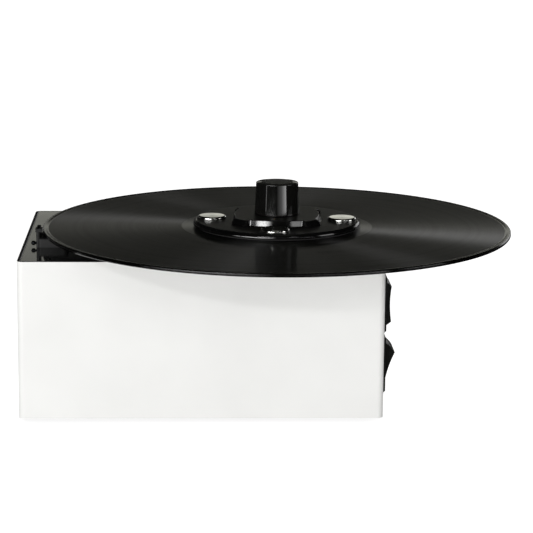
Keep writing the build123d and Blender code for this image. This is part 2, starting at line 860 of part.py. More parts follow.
def dome_screw():
    """Broad dome-head screw with a cross recess, standing at the origin's axis."""
    crown = clamp_floor + clamp_screw_head_height
    rim = clamp_floor + clamp_screw_rim_height
    rise = crown - rim
    sphere_radius = (clamp_screw_head_radius ** 2 + rise ** 2) / (2 * rise)
    middle_radius = clamp_screw_head_radius / 2
    middle = crown - sphere_radius + math.sqrt(sphere_radius ** 2 - middle_radius ** 2)
    arc = ThreePointArc((clamp_screw_head_radius, 0, rim), (middle_radius, 0, middle), (0, 0, crown))
    low = clamp_bottom + clamp_screw_end_gap
    rest = Polyline((0, 0, crown), (0, 0, low), (clamp_screw_shank_radius, 0, low),
                    (clamp_screw_shank_radius, 0, clamp_floor), (clamp_screw_head_radius, 0, clamp_floor),
                    (clamp_screw_head_radius, 0, rim))
    screw = revolve(make_face(arc + rest), Axis.Z)
    for turn in (0, 90):
        slot = extrude(SlotOverall(cross_length, cross_width), cross_depth * 2)
        screw -= Pos(0, 0, crown - cross_depth) * Rot(0, 0, turn) * slot
    return screw


def clamp_screws():
    """The four clamp screws, each with its cross at its own angle."""
    screws = []
    for i, angle in enumerate(screw_angles()):
        place = clamp_place() * Rot(0, 0, angle) * Pos(0, -clamp_screw_circle, 0)
        turn = clamp_screw_first_angle + clamp_screw_angle_step * i
        screws.append(place * Rot(0, 0, turn) * dome_screw())
    return group(screws)


def clamp_knob():
    """Moulded knob: drafted side, rounded shoulder, flat crown and a bore for its insert."""
    shoulder = knob_top - knob_crown_drop
    knob = turned([(0, knob_bottom), (knob_bottom_radius, knob_bottom), (knob_top_radius, shoulder),
                   (knob_crown_radius, knob_top), (0, knob_top)], spindle_x, spindle_y)
    edge = [e for e in knob.edges().filter_by(GeomType.CIRCLE) if abs(e.radius - knob_top_radius) < 0.01]
    knob = fillet(edge, knob_edge_radius)
    crown = [e for e in knob.edges().filter_by(GeomType.CIRCLE)
             if abs(e.radius - knob_crown_radius) < 0.01 and abs(e.center().Z - knob_top) < 0.01]
    knob = fillet(crown, knob_edge_radius)
    return knob - rod(spindle_x, spindle_y, knob_bottom, insert_top, insert_radius + fastener_gap)


def knob_insert():
    """Threaded brass insert that reaches down through the clamp's hub."""
    body = rod(spindle_x, spindle_y, insert_bottom, insert_top, insert_radius)
    body -= rod(spindle_x, spindle_y, insert_bottom, insert_top - insert_end_wall,
                thread_radius + thread_gap)
    groove = turned([(insert_radius - circlip_groove, circlip_bottom),
                     (insert_radius + 1, circlip_bottom), (insert_radius + 1, circlip_top),
                     (insert_radius - circlip_groove, circlip_top)], spindle_x, spindle_y)
    return body - groove


def knob_circlip():
    """Retaining ring that keeps the knob captive on the clamp."""
    inner = insert_radius - circlip_groove + fastener_gap
    outer = insert_radius + circlip_reach
    ring = rod(spindle_x, spindle_y, circlip_bottom, circlip_top, outer)
    ring -= rod(spindle_x, spindle_y, circlip_bottom, circlip_top, inner)
    opening = block(spindle_x, spindle_x + outer + 1, spindle_y - circlip_opening / 2,
                    spindle_y + circlip_opening / 2, circlip_bottom, circlip_top)
    return ring - opening


# ---------------------------------------------------------------- rocker switches
pivot_x = right - rocker_pivot_depth


def switch_body(height):
    """Switch housing: bezel outside the wall, open cavity for the rocker, pin holes and tabs."""
    bezel_out = right + bezel_thickness
    bezel = block(right, bezel_out, switch_y - bezel_half_width, switch_y + bezel_half_width,
                  height - bezel_half_length, height + bezel_half_length)
    edges = bezel.faces().sort_by(Axis.X)[-1].edges()
    bezel = fillet(edges, bezel_edge_radius)
    housing = block(right - switch_body_depth, right, switch_y - switch_half_width,
                    switch_y + switch_half_width, height - switch_half_length,
                    height + switch_half_length)
    body = bezel + housing
    body -= block(right - switch_cavity_depth, bezel_out, switch_y - cavity_half_width,
                  switch_y + cavity_half_width, height - cavity_half_length,
                  height + cavity_half_length)
    pin = rocker_half_width + rocker_pin_length + running_gap
    body -= rod_y(pivot_x, height, switch_y - pin, switch_y + pin, rocker_pin_radius + running_gap)
    tab_face = right - switch_body_depth
    for i in (-1, 0, 1):
        tab = block(tab_face - tab_length, tab_face, switch_y - tab_width / 2, switch_y + tab_width / 2,
                    height + i * tab_pitch - tab_thickness / 2, height + i * tab_pitch + tab_thickness / 2)
        body += tab
    return body


def rocker(height, tilt):
    """Rocker with a hollowed face, arc ends about its pivot and trunnion pins."""
    tip = math.radians(rocker_tip_angle)
    face_x = rocker_radius * math.cos(tip)
    face_z = rocker_radius * math.sin(tip)
    back_z = math.sqrt(rocker_radius ** 2 - rocker_back ** 2)
    side = (tip + math.atan2(back_z, rocker_back)) / 2
    side_x = rocker_radius * math.cos(side)
    side_z = rocker_radius * math.sin(side)
    face = ThreePointArc((face_x, 0, -face_z), (face_x - rocker_hollow, 0, 0), (face_x, 0, face_z))
    upper = ThreePointArc((face_x, 0, face_z), (side_x, 0, side_z), (rocker_back, 0, back_z))
    lower = ThreePointArc((rocker_back, 0, -back_z), (side_x, 0, -side_z), (face_x, 0, -face_z))
    outline = face + upper + Line((rocker_back, 0, back_z), (rocker_back, 0, -back_z)) + lower
    paddle = extrude(make_face(outline), rocker_half_width, both=True)
    tips = [e for e in paddle.edges() if abs(e.center().X - face_x) < 0.01
            and abs(abs(e.center().Z) - face_z) < 0.01]
    paddle = fillet(tips, rocker_edge_radius)
    paddle += rod_y(0, 0, -rocker_half_width, rocker_half_width, rocker_hub_radius)
    pin = rocker_half_width + rocker_pin_length
    paddle += rod_y(0, 0, -pin, pin, rocker_pin_radius)
    return Pos(pivot_x, switch_y, height) * Rot(0, tilt, 0) * paddle


# ---------------------------------------------------------------- vacuum-arm socket
socket_x0 = left + socket_from_left
socket_x1 = socket_x0 + socket_length
socket_y0 = front + socket_from_front
socket_y1 = socket_y0 + socket_depth
socket_bore_x = socket_x0 + socket_length / 2
socket_bore_y = (socket_y0 + socket_y1) / 2


def arm_socket():
    """Moulded socket: low duct under the record's edge, flat upright nozzle with a lip, spigot below."""
    low_top = plate_top + socket_height
    body = rounded_block(socket_x0, socket_x1, socket_y0, socket_y1, plate_top, low_top, socket_corner)
    top_edges = body.faces().sort_by(Axis.Z)[-1].edges()
    body = chamfer(top_edges, socket_edge)
    nozzle_x1 = socket_x0 + nozzle_width
    nozzle_y1 = socket_y0 + nozzle_depth
    nozzle_top = plate_top + nozzle_height
    nozzle = rounded_block(socket_x0, nozzle_x1, socket_y0, nozzle_y1, plate_top, nozzle_top,
                           nozzle_width * 0.45)
    lip = block(socket_x0 - lip_left, nozzle_x1 + lip_right, socket_y0 - lip_left, socket_y0 + lip_depth,
                nozzle_top - lip_height, nozzle_top)
    body = body + nozzle + lip
    body += rod(socket_bore_x, socket_bore_y, plate_top - spigot_length, plate_top, spigot_radius)
    wall = nozzle_wall
    body -= block(socket_x0 + wall, nozzle_x1 - wall, socket_y0 + wall, nozzle_y1 - wall,
                  plate_top + wall, nozzle_top + 1)
    body -= block(socket_x0 + wall, socket_bore_x, socket_bore_y - spigot_bore,
                  socket_bore_y + wall, plate_top + wall, plate_top + wall + socket_duct_height)
    body -= rod(socket_bore_x, socket_bore_y, plate_top - spigot_length,
                plate_top + wall + socket_duct_height, spigot_bore)
    neck_z = plate_top + stud_height
    body -= Pos(socket_x0, socket_y0 + stud_back, neck_z) * Rot(0, 90, 0) * Cylinder(
        stud_neck_radius + fastener_gap, 2 * nozzle_wall)
    return body


def arm_locating_stud():
    """Small ball stud at the foot of the nozzle that the arm snaps onto."""
    place = Pos(socket_x0, socket_y0 + stud_back, plate_top + stud_height) * Rot(0, -90, 0)
    neck = Pos(0, 0, -nozzle_wall / 2 + stud_neck_length / 2) * Cylinder(
        stud_neck_radius, stud_neck_length + nozzle_wall)
    ball = Pos(0, 0, stud_neck_length + stud_ball_radius * 0.7) * Sphere(stud_ball_radius)
    return place * (neck + ball)


def socket_nut():
    """Ring nut that clamps the socket through the top plate."""
    low = plate_bottom - socket_nut_height
    nut = rod(socket_bore_x, socket_bore_y, low, plate_bottom, socket_nut_radius)
    nut -= rod(socket_bore_x, socket_bore_y, low, plate_bottom, spigot_radius + fastener_gap)
    for i in range(socket_nut_notch_count):
        turn = Rot(0, 0, 360 / socket_nut_notch_count * i)
        notch = Pos(socket_bore_x, socket_bore_y, 0) * turn * Pos(socket_nut_radius, 0, 0)
        nut -= notch * rod(0, 0, low, plate_bottom, socket_nut_notch_radius)
    return nut


# ---------------------------------------------------------------- waste tank and hoses
tank_x0 = inner_left + tank_left_gap
tank_x1 = blower_x - scroll_radius - tank_blower_gap
tank_y0 = inner_front + tank_front_gap
tank_y1 = tank_y0 + tank_depth
tank_top = base_top + tank_height
lid_top = tank_top + lid_thickness
air_port_x = tank_x1 - air_port_from_right
air_port_y = tank_y1 - air_port_from_back


def waste_tank():
    """Blow-moulded waste tank: ribbed sides, open top and a drain boss at the back."""
    tank = rounded_block(tank_x0, tank_x1, tank_y0, tank_y1, base_top, tank_top, tank_corner)
    wall = tank_wall
    tank -= rounded_block(tank_x0 + wall, tank_x1 - wall, tank_y0 + wall, tank_y1 - wall,
                          base_top + wall, tank_top, tank_corner - wall)
    spacing = (tank_depth - 2 * tank_corner) / tank_rib_count
    for i in range(tank_rib_count):
        y = tank_y0 + tank_corner + spacing * (i + 0.5)
        for x in (tank_x0, tank_x1):
            tank -= block(x - tank_rib_depth, x + tank_rib_depth, y - tank_rib_width / 2,
                          y + tank_rib_width / 2, base_top + tank_corner, tank_top - tank_corner)
    boss = rod_y(drain_x, drain_z, tank_y1 - wall, tank_y1 + wall, drain_radius + wall)
    tank += boss
    tank -= rod_y(drain_x, drain_z, tank_y1 - 2 * wall, tank_y1 + wall, drain_radius + fastener_gap)
    return tank


def tank_lid():
    """Lid with a locating lip, the suction port and the air port."""
    lid = rounded_block(tank_x0, tank_x1, tank_y0, tank_y1, tank_top, lid_top, tank_corner)
    inset = tank_wall + lid_gap
    lip = rounded_block(tank_x0 + inset, tank_x1 - inset, tank_y0 + inset, tank_y1 - inset,
                        tank_top - lid_lip_height, tank_top, tank_corner - inset)
    deeper = inset + lid_lip_wall
    lip -= rounded_block(tank_x0 + deeper, tank_x1 - deeper, tank_y0 + deeper, tank_y1 - deeper,
                         tank_top - lid_lip_height, tank_top, tank_corner - deeper)
    lid += lip
    for x, y in ((socket_bore_x, socket_bore_y), (air_port_x, air_port_y)):
        lid += rod(x, y, lid_top, lid_top + port_height, port_radius)
        lid -= rod(x, y, tank_top, lid_top + port_height, port_bore)
    return lid


def suction_hose():
    """Straight hose from the arm socket down to the tank lid."""
    low = lid_top + port_height - hose_overlap
    high = plate_top - spigot_length + hose_overlap
    hose = rod(socket_bore_x, socket_bore_y, low, high, port_radius + hose_wall)
    return hose - rod(socket_bore_x, socket_bore_y, low, high, port_radius + hose_gap)


def air_hose():
    """Air line from the tank lid over to the blower's inlet."""
    radius = port_radius + hose_wall
    start_low = lid_top + port_height - hose_overlap
    end_low = cover_top + collar_height - hose_overlap
    bend = 1.5 * radius
    crest = lid_top + port_height + bend
    path = FilletPolyline((air_port_x, air_port_y, start_low), (air_port_x, air_port_y, crest),
                          (blower_x, blower_y, crest), (blower_x, blower_y, end_low), radius=bend)
    section = Plane(origin=(air_port_x, air_port_y, start_low), z_dir=(0, 0, 1))
    outer = sweep(section * Circle(radius), path=path)
    inner = sweep(section * Circle(port_radius + hose_gap), path=path)
    return outer - inner


cover_top = scroll_top + cover_thickness


def drain_pipe():
    """Drain pipe from the tank through the back panel, with a sealing flange and a barb."""
    inner_end = tank_y1 - tank_wall
    pipe = rod_y(drain_x, drain_z, inner_end, back + drain_proud, drain_radius)
    pipe += rod_y(drain_x, drain_z, back, back + drain_flange_thickness, drain_flange_radius)
    barb_end = back + drain_proud
    barb_face = Plane(origin=(drain_x, barb_end, drain_z), z_dir=(0, -1, 0))
    barb = extrude(barb_face * Circle(drain_radius - drain_barb_step), drain_barb_length,
                   taper=-drain_barb_taper)
    pipe -= rod_y(drain_x, drain_z, barb_end - drain_barb_length, barb_end, drain_radius + 1)
    pipe += barb
    pipe -= rod_y(drain_x, drain_z, inner_end, barb_end, drain_bore)
    return pipe


def drain_cap():
    """Rubber cap on the drain, with a pull rim."""
    mouth = back + drain_flange_thickness + rest_gap
    end = back + drain_proud + rest_gap + cap_wall
    outer = drain_radius + cap_gap + cap_wall
    cap = rod_y(drain_x, drain_z, mouth, end, outer)
    cap += rod_y(drain_x, drain_z, mouth, mouth + cap_rim_width, outer + cap_rim_width)
    cap = fillet(cap.edges().filter_by(GeomType.CIRCLE).sort_by(Axis.Y)[-1], cap_edge_radius)
    return cap - rod_y(drain_x, drain_z, mouth, end - cap_wall, drain_radius + cap_gap)


# ---------------------------------------------------------------- vacuum blower
shaft_seat = base_top + 2 * blower_motor_lip


def blower_motor():
    """Closed blower motor on the base plate, bored for its shaft."""
    lip = blower_motor_lip
    rounding = blower_motor_rounding
    bore = blower_shaft_radius + running_gap
    return turned([(0, base_top), (blower_motor_radius + lip, base_top),
                   (blower_motor_radius + lip, base_top + lip), (blower_motor_radius, base_top + lip),
                   (blower_motor_radius, blower_motor_top - rounding),
                   (blower_motor_radius - rounding, blower_motor_top), (bore, blower_motor_top),
                   (bore, shaft_seat), (0, shaft_seat)], blower_x, blower_y)


def scroll_outline(offset):
    """Round casing that runs out into a straight duct towards the back panel."""
    ring = Circle(scroll_radius - offset)
    duct_right = scroll_radius - offset
    duct_left = scroll_radius - scroll_outlet_width + offset
    duct_end = inner_back - blower_y
    duct = Pos((duct_left + duct_right) / 2, duct_end / 2) * Rectangle(duct_right - duct_left, duct_end)
    return Pos(blower_x, blower_y) * (ring + duct)


def blower_scroll():
    """Scroll casing: floor, wall and outlet duct."""
    casing = Pos(0, 0, scroll_bottom) * extrude(scroll_outline(0), scroll_height)
    cavity = Pos(0, 0, scroll_bottom + scroll_wall) * extrude(scroll_outline(scroll_wall), scroll_height)
    casing -= cavity
    return casing - rod(blower_x, blower_y, scroll_bottom, scroll_bottom + scroll_wall,
                        blower_shaft_radius + rest_gap)


def blower_cover():
    """Cover of the scroll with the inlet collar."""
    cover = Pos(0, 0, scroll_top) * extrude(scroll_outline(0), cover_thickness)
    cover += rod(blower_x, blower_y, cover_top, cover_top + collar_height, port_radius)
    return cover - rod(blower_x, blower_y, scroll_top, cover_top + collar_height, port_bore)


def blower_impeller():
    """Impeller: web, hub and backward-swept blades."""
    low = scroll_bottom + scroll_wall + impeller_lift
    high = low + impeller_height
    wheel = rod(0, 0, low, low + impeller_web, impeller_radius)
    wheel += rod(0, 0, low, high - hub_below_blades, impeller_hub_radius)
    sweep_angle = math.radians(blade_sweep)
    outer = impeller_radius - blade_end_gap
    inner = impeller_eye_radius
    start = (inner, 0)
    end = (outer * math.cos(sweep_angle), outer * math.sin(sweep_angle))
    mid_radius = (inner + outer) / 2
    middle_angle = sweep_angle * blade_inner_share
    middle = (mid_radius * math.cos(middle_angle), mid_radius * math.sin(middle_angle))
    camber = ThreePointArc(start, middle, end)
    blade_face = trace(camber, blade_thickness)
    blade = Pos(0, 0, low + impeller_web) * extrude(blade_face, impeller_height - impeller_web)
    for i in range(blade_count):
        wheel += Rot(0, 0, 360 / blade_count * i) * blade
    wheel -= rod(0, 0, low, high, blower_shaft_radius + fastener_gap)
    return Pos(blower_x, blower_y, 0) * wheel


def blower_shaft():
    """Steel shaft of the blower."""
    high = scroll_bottom + scroll_wall + impeller_lift + impeller_height - hub_below_blades
    return rod(blower_x, blower_y, shaft_seat + running_gap, high, blower_shaft_radius)


# ---------------------------------------------------------------- power supply and mains inlet
board_x1 = inner_right - board_from_right
board_x0 = board_x1 - board_width
board_y1 = inner_back - board_from_back
board_y0 = board_y1 - board_depth
board_bottom = base_top + board_standoff
board_top = board_bottom + board_thickness
board_middle_x = (board_x0 + board_x1) / 2


def board_standoff_places():
    """Posts near the board's corners."""
    inset = board_standoff_radius + board_standoff_inset
    centre_y = (board_y0 + board_y1) / 2
    return [(board_middle_x + dx, centre_y + dy)
            for dx, dy in corners(board_width / 2 - inset, board_depth / 2 - inset)]


def power_board():
    """Printed circuit board of the supply and motor control."""
    board = block(board_x0, board_x1, board_y0, board_y1, board_bottom, board_top)
    for x, y in board_standoff_places():
        board -= rod(x, y, board_bottom, board_top, post_screw_radius + screw_clearance)
    return board


def board_standoffs():
    """Posts under the board, with their screws' tips."""
    posts = []
    for x, y in board_standoff_places():
        post = rod(x, y, base_top, board_bottom, board_standoff_radius)
        tip = board_top + board_standoff_tip
        posts.append(post + rod(x, y, board_bottom, tip, post_screw_radius))
    return group(posts)


def transformer():
    """Laminated transformer: core with bobbin showing at both sides."""
    y0 = board_y0 + transformer_from_board_front
    y1 = y0 + transformer_depth
    half = transformer_width / 2
    step = bobbin_step
    core = block(board_middle_x - half, board_middle_x + half, y0 + step, y1 - step, board_top,
                 board_top + transformer_height)
    bobbin = rounded_block(board_middle_x - half + step, board_middle_x + half - step, y0, y1,
                           board_top, board_top + transformer_height - step, bobbin_corner)
    return core + bobbin


def board_parts():
    """Capacitors, heat sink and plug header on the board."""
    y0 = board_y0 + transformer_from_board_front + transformer_depth
    parts = []
    for i, radius in enumerate(capacitor_radii):
        y = y0 + capacitor_inset + capacitor_pitch * i
        parts.append(rod(board_x0 + capacitor_inset, y, board_top, board_top + capacitor_height, radius))
    fin_y = y0 + fin_from_transformer
    for i in range(fin_count):
        x = board_middle_x + fin_from_middle + fin_pitch * i
        parts.append(block(x, x + fin_thickness, fin_y, fin_y + fin_length, board_top,
                           board_top + fin_height))
    header_x = board_middle_x + header_from_middle
    header_y = y0 + header_from_transformer
    parts.append(block(header_x, header_x + header_width, header_y, header_y + header_depth,
                       board_top, board_top + header_height))
    return group(parts)


def mains_inlet():
    """Three-pole appliance inlet: flange outside the back panel, shrouded well and three pins."""
    outer = back + inlet_flange_thickness
    face = RectangleRounded(inlet_flange_width, inlet_flange_height, inlet_flange_corner)
    flange = Pos(inlet_x, back, inlet_z) * Rot(-90, 0, 0) * extrude(face, inlet_flange_thickness)
    body = block(inlet_x - inlet_width / 2, inlet_x + inlet_width / 2, back - inlet_body_depth, back,
                 inlet_z - inlet_tall / 2, inlet_z + inlet_tall / 2)
    inlet = flange + body
    half_w = inlet_well_width / 2
    half_h = inlet_well_height / 2
    slant = inlet_well_slant
    well = make_face(Polyline((-half_w, half_h), (half_w, half_h), (half_w, slant - half_h),
                              (half_w - slant, -half_h), (slant - half_w, -half_h),
                              (-half_w, slant - half_h), close=True))
    cutter = Pos(inlet_x, outer, inlet_z) * Rot(90, 0, 0) * extrude(well, inlet_well_depth)
    inlet -= cutter
    well_floor = outer - inlet_well_depth
    body_back = back - inlet_body_depth
    for step, lift in ((-1, -1), (0, 1), (1, -1)):
        x = inlet_x + step * inlet_pin_pitch
        z = inlet_z + lift * inlet_pin_offset
        inlet += block(x - inlet_pin_width / 2, x + inlet_pin_width / 2, well_floor,
                       outer - inlet_pin_recess, z - inlet_pin_tall / 2, z + inlet_pin_tall / 2)
        inlet += block(x - tab_thickness / 2, x + tab_thickness / 2, body_back - tab_length,
                       body_back, z - tab_width / 2, z + tab_width / 2)
    for side in (-1, 1):
        inlet -= rod_y(inlet_x + side * inlet_screw_pitch / 2, inlet_z, back, outer,
                       post_screw_radius + screw_clearance)
    return inlet


def inlet_screws():
    """Pan-head screws of the mains inlet with their nuts."""
    screws = []
    outer = back + inlet_flange_thickness
    for side in (-1, 1):
        x = inlet_x + side * inlet_screw_pitch / 2
        head = rod_y(x, inlet_z, outer, outer + inlet_screw_head_height, post_screw_head_radius)
        rim = head.edges().filter_by(GeomType.CIRCLE).sort_by(Axis.Y)[-1]
        head = fillet(rim, inlet_screw_head_rounding)
        screw = head + rod_y(x, inlet_z, inner_back - inlet_screw_end, outer, post_screw_radius)
        nut = extrude(RegularPolygon(post_screw_radius * nut_width_ratio, 6), nut_height)
        screws.append(screw + Pos(x, inner_back, inlet_z) * Rot(90, 0, 0) * nut)
    return group(screws)


# ---------------------------------------------------------------- write every sub-part
save(cabinet_sleeve(), "cabinet_sleeve")
save(top_plate(), "top_plate")
save(base_plate(), "base_plate")
save(corner_posts(), "corner_posts")
save(post_screws(), "post_screws")
save(rubber_feet(), "rubber_feet")
save(foot_screws(), "foot_screws")
save(spindle_bush(), "spindle_bush")
save(thrust_washer(), "thrust_washer")
save(spindle(), "spindle")
save(platter(), "platter")
save(platter_mat(), "platter_mat")
save(vinyl_record(), "vinyl_record")
save(record_labels(), "record_labels")
save(motor_mount_plate(), "motor_mount_plate")
save(motor_standoffs(), "motor_standoffs")
save(motor_screws(), "motor_screws")
save(gear_motor(), "gear_motor")
save(motor_output_shaft(), "motor_output_shaft")
save(shaft_coupling(), "shaft_coupling")
save(clamp_disc(), "clamp_disc")
save(clamp_seal(), "clamp_seal")
save(clamp_backplate(), "clamp_backplate")
save(clamp_screws(), "clamp_screws")
save(clamp_knob(), "clamp_knob")
save(knob_insert(), "knob_insert")
save(knob_circlip(), "knob_circlip")
save(switch_body(switch_heights["rotation"]), "rotation_switch_body")
save(switch_body(switch_heights["vacuum"]), "vacuum_switch_body")
save(rocker(switch_heights["rotation"], 0), "rotation_rocker")
save(rocker(switch_heights["vacuum"], rocker_throw), "vacuum_rocker")
save(arm_socket(), "arm_socket")
save(arm_locating_stud(), "arm_locating_stud")
save(socket_nut(), "socket_nut")
save(waste_tank(), "waste_tank")
save(tank_lid(), "tank_lid")
save(suction_hose(), "suction_hose")
save(air_hose(), "air_hose")
save(drain_pipe(), "drain_pipe")
save(drain_cap(), "drain_cap")
save(blower_motor(), "blower_motor")
save(blower_scroll(), "blower_scroll")
save(blower_cover(), "blower_cover")
save(blower_impeller(), "blower_impeller")
save(blower_shaft(), "blower_shaft")
save(power_board(), "power_board")
save(board_standoffs(), "board_standoffs")
save(transformer(), "transformer")
save(board_parts(), "board_parts")
save(mains_inlet(), "mains_inlet")
save(inlet_screws(), "inlet_screws")
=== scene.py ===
"""Looks of a compact record cleaning machine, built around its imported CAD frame.

The frame is in metres: X to the right of the front panel, Y to the back, Z up, floor at Z = 0.
Sizes of the machine are written in millimetres and turned to metres by MM; the floor, the lamps
and the camera are placed in metres.
"""
import json
import math

import bmesh
import bpy
from mathutils import Matrix, Vector


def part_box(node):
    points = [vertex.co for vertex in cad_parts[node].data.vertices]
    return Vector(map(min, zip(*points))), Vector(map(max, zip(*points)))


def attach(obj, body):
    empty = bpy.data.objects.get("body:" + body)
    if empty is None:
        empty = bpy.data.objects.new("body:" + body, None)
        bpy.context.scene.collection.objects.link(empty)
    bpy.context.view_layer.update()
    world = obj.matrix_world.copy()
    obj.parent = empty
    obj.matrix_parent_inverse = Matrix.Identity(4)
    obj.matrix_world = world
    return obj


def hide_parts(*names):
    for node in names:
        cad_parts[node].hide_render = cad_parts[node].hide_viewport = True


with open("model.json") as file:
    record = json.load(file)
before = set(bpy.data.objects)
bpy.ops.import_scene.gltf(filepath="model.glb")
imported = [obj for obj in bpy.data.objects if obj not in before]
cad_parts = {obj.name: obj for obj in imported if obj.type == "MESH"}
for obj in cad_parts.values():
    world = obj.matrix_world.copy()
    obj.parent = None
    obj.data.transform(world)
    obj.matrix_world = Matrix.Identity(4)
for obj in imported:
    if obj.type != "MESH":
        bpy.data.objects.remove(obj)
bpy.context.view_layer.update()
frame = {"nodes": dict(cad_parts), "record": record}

MM = 0.001
NODES = frame["nodes"]


# ---------------------------------------------------------------- places read from the frame
def low(node):
    """Lowest corner of a CAD node."""
    return Vector(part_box(node)[0])


def high(node):
    """Highest corner of a CAD node."""
    return Vector(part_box(node)[1])


def middle(node):
    """Middle of a CAD node's box."""
    return (low(node) + high(node)) / 2


AXIS = Vector((middle("vinyl_record").x, middle("vinyl_record").y, 0))
SLEEVE_LOW = low("cabinet_sleeve")
SLEEVE_HIGH = high("cabinet_sleeve")
SLEEVE_MIDDLE = (SLEEVE_LOW + SLEEVE_HIGH) / 2
SHEET = 2.0 * MM
SLEEVE_CORNER = 4.0 * MM
# Radii on a side of the record, in mm.
LABEL = 50.0
RUN_OUT = 61.0  # the innermost groove turn
LEAD_IN = 147.0  # the outermost groove turn
BARE_RIM = 149.3  # plain and bare of grooves from here to the edge, where the colour is darkened as painted shade


# ---------------------------------------------------------------- node and colour helpers
def linear(code):
    """sRGB hex colour as a linear RGBA colour."""
    parts = [int(code[i:i + 2], 16) / 255 for i in (1, 3, 5)]
    return [p / 12.92 if p <= 0.04045 else ((p + 0.055) / 1.055) ** 2.4 for p in parts] + [1.0]


def add(tree, kind, inputs=None, stops=(), **settings):
    """Adds one node: settings are its properties, inputs are values or sockets to link from.

    Stops are a colour ramp's (place, hex colour) pairs.
    """
    made = tree.nodes.new(kind)
    for name, value in settings.items():
        setattr(made, name, value)
    for key, value in (inputs or {}).items():
        if isinstance(value, bpy.types.NodeSocket):
            tree.links.new(value, made.inputs[key])
        else:
            made.inputs[key].default_value = value
    for i, (place, code) in enumerate(stops):
        band = made.color_ramp.elements
        stop = band[i] if i < len(band) else band.new(place)
        stop.position = place
        stop.color = linear(code)
    return made


def blank(name, **shader):
    """New material: its tree, its shader, and its Object coordinates in metres."""
    made = bpy.data.materials.new(name)
    made.use_nodes = True
    tree = made.node_tree
    surface = tree.nodes["Principled BSDF"]
    for key, value in shader.items():
        surface.inputs[key.replace("_", " ")].default_value = value
    place = add(tree, "ShaderNodeTexCoord").outputs["Object"]
    return made, tree, surface, place


def feed(tree, shader, **sockets):
    """Links sockets to the shader inputs that they are named for."""
    for key, socket in sockets.items():
        tree.links.new(socket, shader.inputs[key.replace("_", " ")])


def radius_from(tree, place, centre):
    """Distance of each point from an upright axis through a centre, as a socket."""
    out = add(tree, "ShaderNodeVectorMath", {0: place, 1: centre}, operation="SUBTRACT")
    level = add(tree, "ShaderNodeVectorMath", {0: out.outputs[0], 1: (1, 1, 0)},
                operation="MULTIPLY")
    return add(tree, "ShaderNodeVectorMath", {0: level.outputs[0]},
               operation="LENGTH").outputs["Value"]


def grained(name, dark, light, grain, rough, relief, **shader):
    """Finish whose tone, gloss and relief vary with a fine grain and a broad cloud of real sizes.

    The grain and the height of its relief are in mm, and rough is the range of its roughness.
    """
    made, tree, surface, place = blank(name, **shader)
    fine = add(tree, "ShaderNodeTexNoise", {"Vector": place, "Scale": 1 / (grain * MM),
                                            "Detail": 3.0, "Roughness": 0.6}).outputs["Fac"]
    cloud = grain * GRAINS_IN_CLOUD
    broad = add(tree, "ShaderNodeTexNoise", {"Vector": place, "Scale": 1 / (cloud * MM),
                                             "Detail": 2.0}).outputs["Fac"]
    both = add(tree, "ShaderNodeMath", {0: fine, 1: broad}, operation="MULTIPLY").outputs[0]
    spread = add(tree, "ShaderNodeMapRange", {"Value": both, "From Min": 0.12, "From Max": 0.42})
    tone = add(tree, "ShaderNodeValToRGB", {"Fac": spread.outputs[0]},
               stops=((0.0, dark), (1.0, light)))
    gloss = add(tree, "ShaderNodeMapRange", {"Value": fine, "From Min": 0.3, "From Max": 0.7,
                                             "To Min": rough[0], "To Max": rough[1]})
    height = add(tree, "ShaderNodeBump", {"Height": fine, "Distance": relief * MM,
                                          "Strength": 1.0})
    feed(tree, surface, Base_Color=tone.outputs["Color"], Roughness=gloss.outputs[0],
         Normal=height.outputs[0])
    return made


GRAINS_IN_CLOUD = 30


# ---------------------------------------------------------------- materials
def composite_coat():
    """Coil-coated aluminium composite: smooth satin white with the faint peel of rolled paint."""
    made, tree, surface, place = blank("coil_coated_white", IOR=1.5)
    peel = add(tree, "ShaderNodeTexNoise", {"Vector": place, "Scale": 1 / (1.6 * MM),
                                            "Detail": 2.0}).outputs["Fac"]
    cloud = add(tree, "ShaderNodeTexNoise", {"Vector": place, "Scale": 1 / (70 * MM),
                                             "Detail": 3.0}).outputs["Fac"]
    tone = add(tree, "ShaderNodeValToRGB", {"Fac": cloud},
               stops=((0.35, "#F3F3F1"), (0.65, "#F7F7F5")))
    gloss = add(tree, "ShaderNodeMapRange", {"Value": cloud, "From Min": 0.3, "From Max": 0.7,
                                             "To Min": 0.34, "To Max": 0.42})
    height = add(tree, "ShaderNodeBump", {"Height": peel, "Distance": 0.006 * MM,
                                          "Strength": 1.0})
    feed(tree, surface, Base_Color=tone.outputs["Color"], Roughness=gloss.outputs[0],
         Normal=height.outputs[0])
    return made


